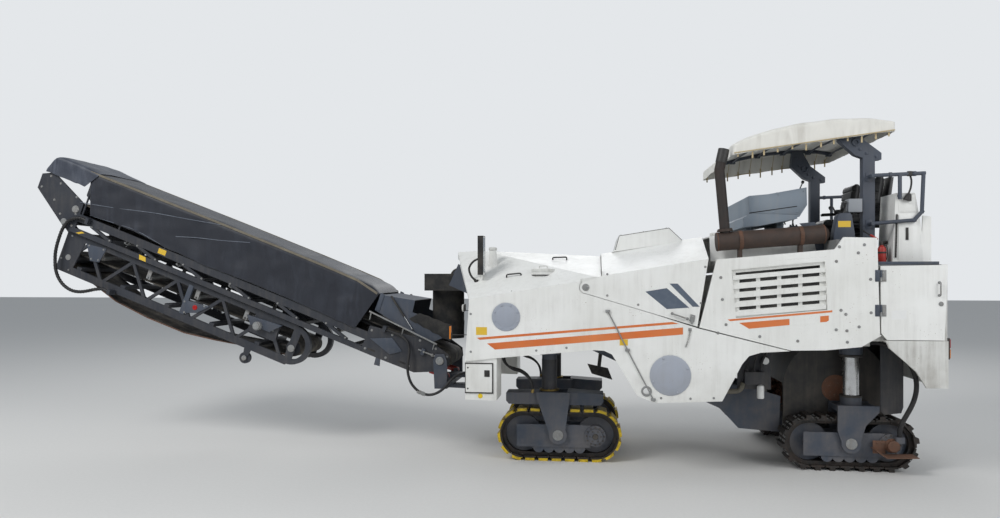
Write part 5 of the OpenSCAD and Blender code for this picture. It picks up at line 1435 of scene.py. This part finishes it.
turned(
    bm,
    [(0, 0), (0.03, 0), (0.036, 0.008), (0.036, 0.12), (0.03, 0.135), (0.014, 0.14), (0.014, 0.16), (0, 0.16)],
    (2.088, -0.64, 0.71), UP,
)
turned(bm, [(0, 0.001), (0.037, 0.001), (0.037, 0.0035), (0, 0.0035)], (2.138, -0.632, 1.1), LEFT)
piece("oil_filter", bm, STICKER_WHITE, "machine")
bm = bmesh.new()
for k in range(3):
    x = 1.95 + k * 0.07
    bent(
        bm,
        [
            (x, -0.648, 1.015), (x + 0.01, -0.66, 1.10), (x + 0.02 + k * 0.02, -0.68, 1.22),
            (x + 0.05, -0.66, 1.37), (x + 0.05, -0.65, 1.3815),
        ],
        0.011,
    )
piece("valve_lines", bm, HOSE, "machine")
bm = bmesh.new()
slab(bm, [(0.298, 1.015), (0.347, 0.906), (0.573, 0.841), (0.524, 0.969)], -0.36, -0.348)
slab(bm, [(0.40, 0.93), (0.44, 0.93), (0.47, 1.19), (0.43, 1.2)], -0.372, -0.36)
piece("paddle", bm, RUBBER, "machine", bevel=0.002)

# Rear left drive: rusty motor, bent step plate; hanging plate behind the leg
bm = bmesh.new()
turned(
    bm,
    [
        (0, 0), (0.07, 0), (0.07, 0.014), (0.052, 0.02), (0.052, 0.05), (0.058, 0.054), (0.058, 0.064),
        (0.05, 0.07), (0, 0.07),
    ],
    (3.335, -0.751, 0.28), LEFT, 32,
)
for x, z in around(4, 3.335, 0.28, 0.06, 0.4):
    bolt(bm, (x, -0.765, z), (0, -1, 0), 0.008, 0.007)
piece("drive_motor", bm, RUST, "machine")
bm = bmesh.new()
slab(
    bm,
    [(3.135, 0.265), (3.229, 0.194), (3.527, 0.203), (3.527, 0.195), (3.226, 0.186), (3.129, 0.259)],
    -0.93, -0.76,
)
block(bm, (3.15, -0.768, 0.2), (3.27, -0.76, 0.33))
block(bm, (3.17, -0.765, 0.29), (3.25, -0.7115, 0.32))
bolt(bm, (3.19, -0.768, 0.305), (0, -1, 0), 0.008, 0.006)
bolt(bm, (3.235, -0.768, 0.305), (0, -1, 0), 0.008, 0.006)
piece("step_plate", bm, RUST, "machine", bevel=0.001)
bm = bmesh.new()
slab(bm, [(3.24, 1.361), (3.24, 0.62), (3.28, 0.58), (3.44, 0.6), (3.46, 0.66), (3.46, 1.361)], -0.715, -0.703)
block(bm, (3.24, -0.715, 1.349), (3.46, -0.62, 1.361))
piece("rear_flap", bm, DARK, "machine", bevel=0.002)

# ---------------------------------------------------------------- platform

# Plate at the deck's end, ledge of the platform, rear face
bm = bmesh.new()
for m in (-1, 1):
    slab(
        bm,
        [(2.425, 2.512), (2.571, 2.526), (2.656, 2.359), (2.66, 2.19), (2.6, 2.19), (2.56, 2.36)],
        m * 0.826, m * 0.834,
    )
    block(bm, (3.03, m * 1.205 - 0.018, 2.089), (3.58, m * 1.205 + 0.018, 2.097))
    block(bm, (3.03, m * 1.221 - 0.003, 2.089), (3.58, m * 1.221 + 0.003, 2.118))
piece("platform_edges", bm, SLATE, "machine", bevel=0.001)
bm = bmesh.new()
block(bm, (3.649, -0.16, 0.97), (3.668, 0.16, 1.2))
for y in (-0.045, 0.045):
    block(bm, (3.667, y - 0.01, 1.03), (3.7, y + 0.01, 1.14))
rod(bm, (3.688, -0.075, 1.085), (3.688, 0.075, 1.085), 0.014)
for y in (-0.13, 0.13):
    for z in (1.0, 1.17):
        bolt(bm, (3.668, y, z), BACK, 0.011, 0.009)
piece("rear_hitch", bm, DARK, "machine", bevel=0.002)
bm = bmesh.new()
HATCHES = ((-0.62, 1.35, 0.62, 1.95), (-1.08, 1.5, -0.72, 1.95))
for y1, z1, y2, z2 in HATCHES:
    block(bm, (3.6495, y1, z1), (3.654, y2, z2))
piece("rear_hatches", bm, WHITE, "machine", bevel=0.002)
bm = bmesh.new()
for y1, z1, y2, z2 in HATCHES:
    n = 5 if y2 > 0 else 2
    for k in range(n):
        y = y1 + 0.04 + (y2 - y1 - 0.08) * k / (n - 1)
        for z in (z1 + 0.04, z2 - 0.04):
            bolt(bm, (3.654, y, z), (1, 0, 0), 0.009, 0.007)
handle(bm, (3.654, -0.15, 1.7), (3.654, 0.15, 1.7), (0.035, 0, 0), 0.008)
for z in (0.655, 0.935, 1.215, 1.495, 1.775):
    for k in range(9):
        bolt(bm, (3.68, 0.76 + k * 0.038, z - 0.0145), (0, 0, 1), 0.006, 0.004, 8)
piece("rear_bolts", bm, STEEL, "machine")

# Rear deck: hatches with lids
bm = bmesh.new()
tilt = Matrix.Rotation(-0.0951, 4, "Y")
for x, y, a, b in ((1.82, -0.3, 0.2, 0.24), (1.82, 0.3, 0.2, 0.24), (1.85, 0.0, 0.1, 0.05)):
    z = 2.395 + (x - 1.56) * 0.0955
    block(bm, (x - a, y - b, z - 0.004), (x + a, y + b, z + 0.008), tilt)
    for sx in (-1, 1):
        for sy in (-1, 1):
            px = x + sx * (a - 0.03)
            bolt(bm, (px, y + sy * (b - 0.03), 2.395 + (px - 1.56) * 0.0955 + 0.007), (-0.095, 0, 1), 0.008, 0.006)
for y in (-0.35, 0.35):
    turned(
        bm,
        [(0, 0), (0.05, 0), (0.055, 0.01), (0.055, 0.03), (0.045, 0.036), (0, 0.036)],
        (1.64, y * 1.6, 2.402), UP,
    )
piece("deck_hatches", bm, PALE, "machine", bevel=0.0015)

# Console: shadow gap, side covers, gauges, switches and levers on the operator's face
GAUGE_AXIS = (1.463, 0, 0.04)
bm = bmesh.new()
for m in (-1, 1):
    face_plate(
        bm,
        [(1.97, 2.63), (1.97, 2.80), (2.15, 2.813), (2.515, 2.872), (2.522, 2.72), (2.452, 2.612), (2.2, 2.622)],
        m, 0.7, 0.004,
    )
    side_bolts(
        bm,
        [(1.99, 2.65), (1.99, 2.785), (2.25, 2.82), (2.5, 2.85), (2.44, 2.64), (2.2, 2.64)],
        m, 0.704, 0.007, 0.005,
    )
piece("console_covers", bm, CONSOLE, "machine", bevel=0.001)
bm = bmesh.new()
for m in (-1, 1):
    pipe(bm, [(1.962, m * 0.701, 2.632), (2.435, m * 0.701, 2.697)], 0.006, 1)
slab(bm, [(2.5335, 2.716), (2.5385, 2.716), (2.5335, 2.884), (2.5285, 2.884)], -0.62, 0.62)
for k, y in enumerate((-0.45, -0.3, 0.3, 0.45)):
    turned(
        bm,
        [(0, -0.002), (0.048, -0.002), (0.048, 0.01), (0.043, 0.014), (0.041, 0.006), (0, 0.006)],
        (2.537, y, 2.82), GAUGE_AXIS,
    )
for k in range(10):
    y = -0.2 + k * 0.044
    rod(bm, (2.537, y, 2.84), (2.548, y, 2.841), 0.009)
    rod(bm, (2.546, y, 2.841), (2.566, y, 2.852), 0.0035)
for y in (-0.55, 0.55):
    rod(bm, (2.50, y, 2.885), (2.53, y, 2.955), 0.006)
    turned(
        bm,
        [(0, 0), (0.012, 0.004), (0.017, 0.018), (0.012, 0.032), (0, 0.036)],
        (2.525, y, 2.945), (0.075, 0, 0.175), 16,
    )
block(bm, (2.536, -0.1, 2.73), (2.546, 0.1, 2.80))
piece("console_panel", bm, PLASTIC, "machine", bevel=0.001)
bm = bmesh.new()
for y in (-0.45, -0.3, 0.3, 0.45):
    turned(bm, [(0, 0.0055), (0.0405, 0.0055), (0.0405, 0.0075), (0, 0.0075)], (2.537, y, 2.82), GAUGE_AXIS)
block(bm, (2.5455, -0.09, 2.738), (2.5475, 0.09, 2.792))
piece("gauge_dials", bm, STICKER_WHITE, "machine")

# Canopy posts: head plate bolts and boss, base plate; control box; lever; lamp; extinguisher
bm = bmesh.new()
for m in (-1, 1):
    y = 0.9 * m
    for x, z in ((2.86, 3.33), (2.83, 3.43), (2.97, 3.23), (3.03, 3.19), (3.12, 3.155)):
        for out in (-1, 1):
            bolt(bm, (x, y + out * 0.04, z), (0, out, 0), 0.012, 0.009)
    block(bm, (2.975, y - 0.075, 2.0905), (3.127, y + 0.075, 2.102))
    for x in (2.987, 3.115):
        for dy in (-0.06, 0.06):
            bolt(bm, (x, y + dy, 2.102), (0, 0, 1), 0.01, 0.009)
    for out in (-1, 1):
        turned(
            bm, [(0.02, -0.001), (0.04, -0.001), (0.04, 0.008), (0.034, 0.012), (0.02, 0.01), (0.02, -0.001)],
            (2.93, y + out * 0.04, 3.3), (0, out, 0),
        )
    for z in (2.49, 2.955):
        block(bm, (3.02, y + m * 0.045 - 0.006, z - 0.045), (3.082, y + m * 0.045 + 0.006, z + 0.045))
    for x in (3.2, 3.42):
        z = 2.955 + (x - 3.051) * 0.032
        turned(bm, ring(0.0185, 0.024, 0.026), (x, m * 1.045, z), (1, 0, 0.032))
piece("post_fittings", bm, SLATE, "machine", bevel=0.001)
bm = bmesh.new()
block(bm, (2.85, -0.975, 2.61), (2.98, -0.865, 2.74))
block(bm, (2.978, -0.965, 2.62), (2.984, -0.875, 2.73))
rod(bm, (2.872, -0.92, 2.56), (2.872, -0.92, 2.615), 0.016)
piece("control_box", bm, GREY_PLASTIC, "machine", bevel=0.006, segments=3)
bm = bmesh.new()
bent(bm, [(3.39, -1.045, 2.965), (3.405, -1.045, 2.9), (3.398, -1.045, 2.83), (3.375, -1.045, 2.765)], 0.009)
rod(bm, (3.385, -1.045, 2.775), (3.37, -1.045, 2.725), 0.02, 0.036)
rod(bm, (3.37, -1.045, 2.725), (3.366, -1.045, 2.712), 0.036, 0.038)
rod(bm, (3.389, -1.045, 2.945), (3.391, -1.045, 2.99), 0.026)
bent(bm, [(3.0, -0.94, 2.43), (2.995, -0.975, 2.42), (3.03, -1.0, 2.39), (3.06, -1.0, 2.372)], 0.007)
face_plate(bm, [(3.262, 2.16), (3.274, 2.58), (3.286, 2.58), (3.274, 2.16)], -1, 1.02, 0.016)
face_plate(bm, corners(3.36, 2.33, 3.385, 2.45), -1, 1.02, 0.012)
block(bm, (3.235, -0.9, 2.3), (3.243, -0.78, 2.33))
piece("platform_blacks", bm, BLACK_PAINT, "machine", bevel=0.001)
bm = bmesh.new()
turned(
    bm,
    [(0, 0), (0.0095, 0.003), (0.0115, 0.02), (0.0115, 0.07), (0.008, 0.085), (0, 0.088)],
    (3.04, -1.0, 2.384), (0.07, 0, -0.043), 16,
)
turned(
    bm,
    [(0, 0), (0.036, 0), (0.0385, 0.006), (0.0385, 0.15), (0.03, 0.172), (0.015, 0.182), (0.015, 0.19), (0, 0.19)],
    (3.151, -1.0, 2.0925), UP, 28,
)
piece("extinguisher", bm, RED, "machine")
bm = bmesh.new()
rod(bm, (3.151, -1.0, 2.28), (3.151, -1.0, 2.31), 0.013)
block(bm, (3.13, -1.006, 2.308), (3.185, -0.994, 2.318))
bent(bm, [(3.165, -1.0, 2.295), (3.195, -1.004, 2.27), (3.2, -1.01, 2.2), (3.192, -1.012, 2.14)], 0.0055)
turned(bm, ring(0.0385, 0.041, 0.018), (3.151, -1.0, 2.2), UP, 28)
block(bm, (3.095, -1.0, 2.2), (3.115, -0.95, 2.218))
piece("extinguisher_valve", bm, BLACK_PAINT, "machine", bevel=0.001)
# Panels of the locker, with gaps between them
bm = bmesh.new()
for points in (
    [(3.292, 2.115), (3.298, 2.575), (3.462, 2.575), (3.49, 2.38), (3.518, 2.16), (3.518, 2.115)],
    [(3.295, 2.6), (3.3, 2.765), (3.438, 2.765), (3.458, 2.6)],
):
    face_plate(bm, points, -1, 1.02, 0.005)
piece("locker_panels", bm, WHITE, "machine", bevel=0.0012)

# ---------------------------------------------------------------- crawlers: shoe bolts

SHOES = 22
RUN = 0.385  # half of the chain's straight run
CHAIN_R = 0.254
BOLT_SEAT_R = 0.2455  # from the loop's axis to the shoes' bolt heads
HUB_Z = 0.28
PITCH = (4 * RUN + math.tau * CHAIN_R) / SHOES


def loop_place(d):
    """Point on the chain and its outward direction, at distance d along the loop."""
    arc = math.pi * CHAIN_R
    d %= 4 * RUN + 2 * arc
    if d < 2 * RUN:
        return RUN - d, 0.0
    if d < 2 * RUN + arc:
        return -RUN, (d - 2 * RUN) / arc * math.pi
    if d < 4 * RUN + arc:
        return d - 3 * RUN - arc, math.pi
    return RUN, math.pi + (d - 4 * RUN - arc) / arc * math.pi


for x0, y0, pad, body, name in (
    (0, -FRONT_Y, 0.022, "front_crawler_left", "front_shoe_bolts_left"),
    (0, FRONT_Y, 0.022, "front_crawler_right", "front_shoe_bolts_right"),
    (2.95, REAR_Y[-1], 0.045, "machine", "rear_shoe_bolts_left"),
    (2.95, REAR_Y[1], 0.045, "machine", "rear_shoe_bolts_right"),
):
    bm = bmesh.new()
    for i in range(SHOES):
        x, turn = loop_place((i + 0.5) * PITCH)
        out, along = Vector((-math.sin(turn), 0, math.cos(turn))), Vector((math.cos(turn), 0, math.sin(turn)))
        for side in (-1, 1):
            base = Vector((x0 + x, y0, HUB_Z)) + out * BOLT_SEAT_R + along * side * (PITCH / 2 - 0.003 - pad / 2)
            for dy in (-0.095, -0.045, 0.045, 0.095):
                bolt(bm, base + Vector((0, dy, 0)), out, 0.0065 if pad < 0.03 else 0.009, 0.007)
    piece(name, bm, STEEL, body)

# ---------------------------------------------------------------- discharge conveyor


def boom_face(bm, points, m, face, t):
    face_plate(bm, [(-s, n) for s, n in points], m, face, t)


def boom_bolts(bm, places, m, face, r=0.009, h=0.007):
    side_bolts(bm, [(-s, n) for s, n in places], m, face, r, h)


# Distances of the plates' faces from the middle
HEAD_FACE, TAIL_FACE = 0.45, 0.454
HEAD_BOLTS = [
    (4.74, -0.03), (4.8, 0.16), (4.93, -0.1), (5.05, 0.24), (5.2, 0.28), (5.27, 0.12), (5.06, 0.03), (4.74, -0.18),
]
TAIL_BOLTS = [
    (0.86, 0.02), (0.86, -0.2), (0.6, -0.21), (0.32, -0.2), (0.1, 0.1), (0.3, 0.12), (0.62, 0.06), (-0.05, 0.06),
    (-0.06, -0.07),
]
for m, side in SIDES:
    bm = bmesh.new()
    boom_bolts(bm, HEAD_BOLTS, m, HEAD_FACE, 0.01, 0.008)
    boom_bolts(bm, TAIL_BOLTS, m, TAIL_FACE, 0.01, 0.008)
    for s, n, r in ((4.85, -0.17, 0.04), (4.76, 0.02, 0.045)):
        cap(bm, -s, n, r, m, HEAD_FACE, 0.012, 0.9)
        boom_bolts(bm, around(4, s, n, r * 0.7), m, 0.461, 0.006, 0.005)
    cap(bm, 0, 0, 0.046, m, 0.5135, 0.01, 0.9)
    boom_bolts(bm, around(3, 0, 0, 0.03), m, 0.5225, 0.006, 0.005)
    for k in range(6):
        boom_bolts(
            bm,
            [(1.1 + 0.62 * k + 0.02, -0.175), (1.1 + 0.62 * k + 0.29, -0.105)],
            m, HEAD_FACE, 0.008, 0.006,
        )
    # Hand rail with its posts on the tail plate, screw of the belt tension
    pipe(bm, [(-s, m * 0.49, n) for s, n in ((0.955, 0.216), (0.5, 0.184), (0.101, 0.156))], 0.009)
    for s, n in ((0.93, 0.214), (0.52, 0.185), (0.13, 0.158)):
        rod(bm, (-s, m * 0.49, n), (-s, m * 0.462, n - 0.06), 0.007)
        rod(bm, (-s, m * 0.462, n - 0.05), (-s, m * 0.445, n - 0.09), 0.007)
    rod(bm, (-0.06, m * 0.47, 0.02), (-0.28, m * 0.47, 0.02), 0.0085)
    for s in (0.1, 0.2):
        rod(bm, (-s, m * 0.47, 0.02), (-s - 0.02, m * 0.47, 0.02), 0.018, sides=6)
    piece(f"boom_bolts_{side}", bm, STEEL, "conveyor", BOOM)
    # Slots of the tail plate as dark plates (painted shade of the openings), lower bracket, prop and guard of the
    # tension screw
    bm = bmesh.new()
    boom_face(bm, [(0.841, -0.072), (0.609, 0.03), (0.445, -0.069), (0.569, -0.157)], m, TAIL_FACE, 0.012)
    boom_face(bm, [(0.709, -0.24), (0.698, -0.335), (0.631, -0.327), (0.655, -0.24)], m, 0.44, 0.012)
    boom_face(bm, [(0.20, -0.02), (0.20, 0.05), (0.24, 0.05), (0.24, -0.02)], m, TAIL_FACE, 0.03)
    boom_face(bm, [(0.92, 0.455), (0.90, 0.25), (0.86, 0.25), (0.87, 0.45)], m, 0.4395, 0.008)
    piece(f"tail_brackets_{side}", bm, SLATE, "conveyor", BOOM, bevel=0.0015)
    # Painted shade: dark foils in the tail plate's slots
    bm = bmesh.new()
    for s in (0.36, 0.74):
        boom_face(bm, [(s, -0.2), (s + 0.09, -0.2), (s + 0.09, -0.18), (s, -0.18)], m, TAIL_FACE, 0.0008)
    piece(f"tail_slot_shade_{side}", bm, RUBBER, "conveyor", BOOM)
    # Rubber skirt of the receiving end and the gas strut of its lid
    bm = bmesh.new()
    nx = 14
    top = [(0.414 - k * 0.027, 0.407 - 0.004 * math.sin(k * 1.3)) for k in range(nx + 1)]
    low = [(-0.024 + k * 0.038, 0.235 + k * 0.0042 + 0.006 * math.sin(k * 1.9)) for k in range(nx + 1)]
    boom_face(bm, top + low, m, 0.442, 0.007)
    piece(f"tail_skirt_{side}", bm, RUBBER, "conveyor", BOOM, bevel=0.001)
    bm = bmesh.new()
    rod(bm, (-0.782, m * 0.462, 0.46), (-0.56, m * 0.462, 0.30), 0.012)
    for s, n in ((0.782, 0.46), (0.42, 0.2)):
        rod(bm, (-s, m * 0.435, n), (-s, m * 0.475, n), 0.009)
    piece(f"gas_strut_{side}", bm, BLACK_PAINT, "conveyor", BOOM)
    bm = bmesh.new()
    rod(bm, (-0.565, m * 0.462, 0.304), (-0.42, m * 0.462, 0.2), 0.006)
    piece(f"strut_rod_{side}", bm, CHROME, "conveyor", BOOM)
    bm = bmesh.new()
    boom_face(bm, [(4.66, -0.24), (4.62, -0.24), (4.55, -0.205), (4.59, -0.2)], m, HEAD_FACE, 0.001)
    boom_face(bm, [(3.808, -0.19), (3.79, -0.245), (3.70, -0.245), (3.72, -0.195)], m, HEAD_FACE, 0.001)
    boom_face(bm, [(3.60, -0.03), (3.60, -0.09), (3.50, -0.09), (3.50, -0.03)], m, HEAD_FACE, 0.001)
    piece(f"boom_marks_{side}", bm, STICKER_YELLOW, "conveyor", BOOM)

    # Folding section: gusset with the red reflector, plates, drive motor, hinge bolts
    bm = bmesh.new()
    boom_face(bm, [(3.127, -0.492), (2.793, -0.457), (2.909, -0.58), (3.086, -0.65)], m, 0.4, 0.008)
    boom_face(bm, [(4.507, -0.325), (4.247, -0.285), (4.28, -0.473), (4.397, -0.498)], m, 0.4, 0.008)
    boom_face(bm, [(2.32, -0.367), (2.24, -0.46), (1.993, -0.457), (1.876, -0.331)], m, 0.4, 0.03)
    block(bm, (-3.12, m * 0.375, -0.66), (-3.06, m * 0.4085, -0.30))
    piece(f"fold_plates_{side}", bm, SLATE, "folding_section", BOOM, bevel=0.002)
    bm = bmesh.new()
    boom_bolts(
        bm,
        [(3.1, -0.51), (2.85, -0.475), (3.06, -0.63), (4.47, -0.33), (4.28, -0.31), (4.3, -0.45), (4.39, -0.47)],
        m, 0.408, 0.008, 0.006,
    )
    boom_bolts(
        bm,
        [
            (4.72, -0.3), (4.76, -0.6), (4.62, -0.7), (4.83, -0.24), (2.18, -0.39), (1.95, -0.37), (1.97, -0.43),
            (2.24, -0.43),
        ],
        m, 0.402, 0.008, 0.006,
    )
    cap(bm, -4.68, -0.56, 0.036, m, 0.392, 0.014, 0.9)
    cap(bm, -1.69, -0.54, 0.042, m, 0.4, 0.012, 0.9)
    boom_bolts(bm, around(4, 1.69, -0.54, 0.03), m, 0.411, 0.006, 0.005)
    rod(bm, (-2.146, m * 0.41, -0.438), (-2.146, m * 0.47, -0.438), 0.05)
    rod(bm, (-2.146, m * 0.47, -0.438), (-2.146, m * 0.485, -0.438), 0.036)
    boom_bolts(bm, around(5, 2.146, -0.438, 0.04), m, 0.469, 0.006, 0.005)
    cap(bm, -2.18, -0.855, 0.03, m, 0.407, 0.01, 0.9)
    piece(f"fold_bolts_{side}", bm, STEEL, "folding_section", BOOM)
    bm = bmesh.new()
    cap(bm, -2.954, -0.53, 0.03, m, 0.408, 0.007, 0.85)
    piece(f"fold_reflector_{side}", bm, RED_LENS, "folding_section", BOOM)

# Return rollers under both belts, and the idlers that carry them
bm = bmesh.new()
for s in (1.25, 1.95, 2.65, 3.35, 4.05):
    rod(bm, (-s, -0.36, -0.135), (-s, 0.36, -0.135), 0.032, sides=24)
    rod(bm, (-s, -0.412, -0.135), (-s, 0.412, -0.135), 0.012)
piece("return_rollers", bm, STEEL, "conveyor", BOOM)
bm = bmesh.new()
for s in (2.35, 3.0, 3.65, 4.3):
    rod(bm, (-s, -0.335, -0.425), (-s, 0.335, -0.425), 0.03, sides=24)
    rod(bm, (-s, -0.372, -0.425), (-s, 0.372, -0.425), 0.012)
    for m in (-1, 1):
        block(bm, (-s - 0.025, m * 0.368 - 0.004, -0.44), (-s + 0.025, m * 0.368 + 0.004, -0.27))
piece("fold_rollers", bm, STEEL, "folding_section", BOOM)

# Tan edge strips of the slack belt
bm = bmesh.new()
sag = [
    (4.68, -0.64), (4.4, -0.735), (3.953, -0.85), (3.5045, -0.885), (3.004, -0.88), (2.6075, -0.815),
    (2.245, -0.74), (1.952, -0.69), (1.69, -0.64),
]
for m in (-1, 1):
    line = [Vector((-s, m * 0.338, n + 0.006)) for s, n in sag]
    for a, b in zip(line, line[1:]):
        mid, d = (a + b) / 2, b - a
        low = (mid.x - d.length / 2 - 0.001, mid.y - 0.003, mid.z - 0.0068)
        high = (mid.x + d.length / 2 + 0.001, mid.y + 0.003, mid.z + 0.0068)
        block(bm, low, high, Matrix.Rotation(-math.atan2(d.z, d.x), 4, "Y"))
piece("belt_edges", bm, RUST, "folding_section", BOOM, bevel=0.001)

# ---------------------------------------------------------------- floor and sky


def floor_and_sky():
    """A pale floor that ends in a pale background."""
    bm = bmesh.new()
    bmesh.ops.create_grid(bm, x_segments=1, y_segments=1, size=60)
    mesh = bpy.data.meshes.new("floor")
    bm.to_mesh(mesh)
    bm.free()
    floor = bpy.data.objects.new("floor", mesh)
    bpy.context.collection.objects.link(floor)
    mat, tree, place = begin("floor_pale")
    grain = add(tree, "TexNoise", {"Vector": place, "Scale": per_mm(30), "Detail": 4.0})
    dust = add(tree, "Mix", {0: grain, 6: linear("D6D5D2"), 7: linear("DEDDDA")}, out=2, data_type="RGBA")
    shader = add(tree, "BsdfPrincipled", {"Base Color": dust, "Roughness": 0.85})
    add(tree, "OutputMaterial", {"Surface": shader})
    mesh.materials.append(mat)
    floor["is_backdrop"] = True
    world = bpy.data.worlds.new("sky")
    bpy.context.scene.world = world
    world.use_nodes = True
    tree = world.node_tree
    tree.nodes.clear()
    soft = add(tree, "Background", {"Color": linear("DDE4EC"), "Strength": 0.5})
    plain = add(tree, "Background", {"Color": linear("E4E7EA"), "Strength": 1.0})
    seen = add(tree, "LightPath", out="Is Camera Ray")
    mix = add(tree, "MixShader", {0: seen, 1: soft, 2: plain})
    add(tree, "OutputWorld", {"Surface": mix})


floor_and_sky()
bpy.context.scene.view_settings.view_transform = "Standard"

# ---------------------------------------------------------------- sizes and end

low, high = cad_box
new_low, new_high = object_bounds()
{"cad": [list(low), list(high)], "visual": [list(new_low), list(new_high)]}
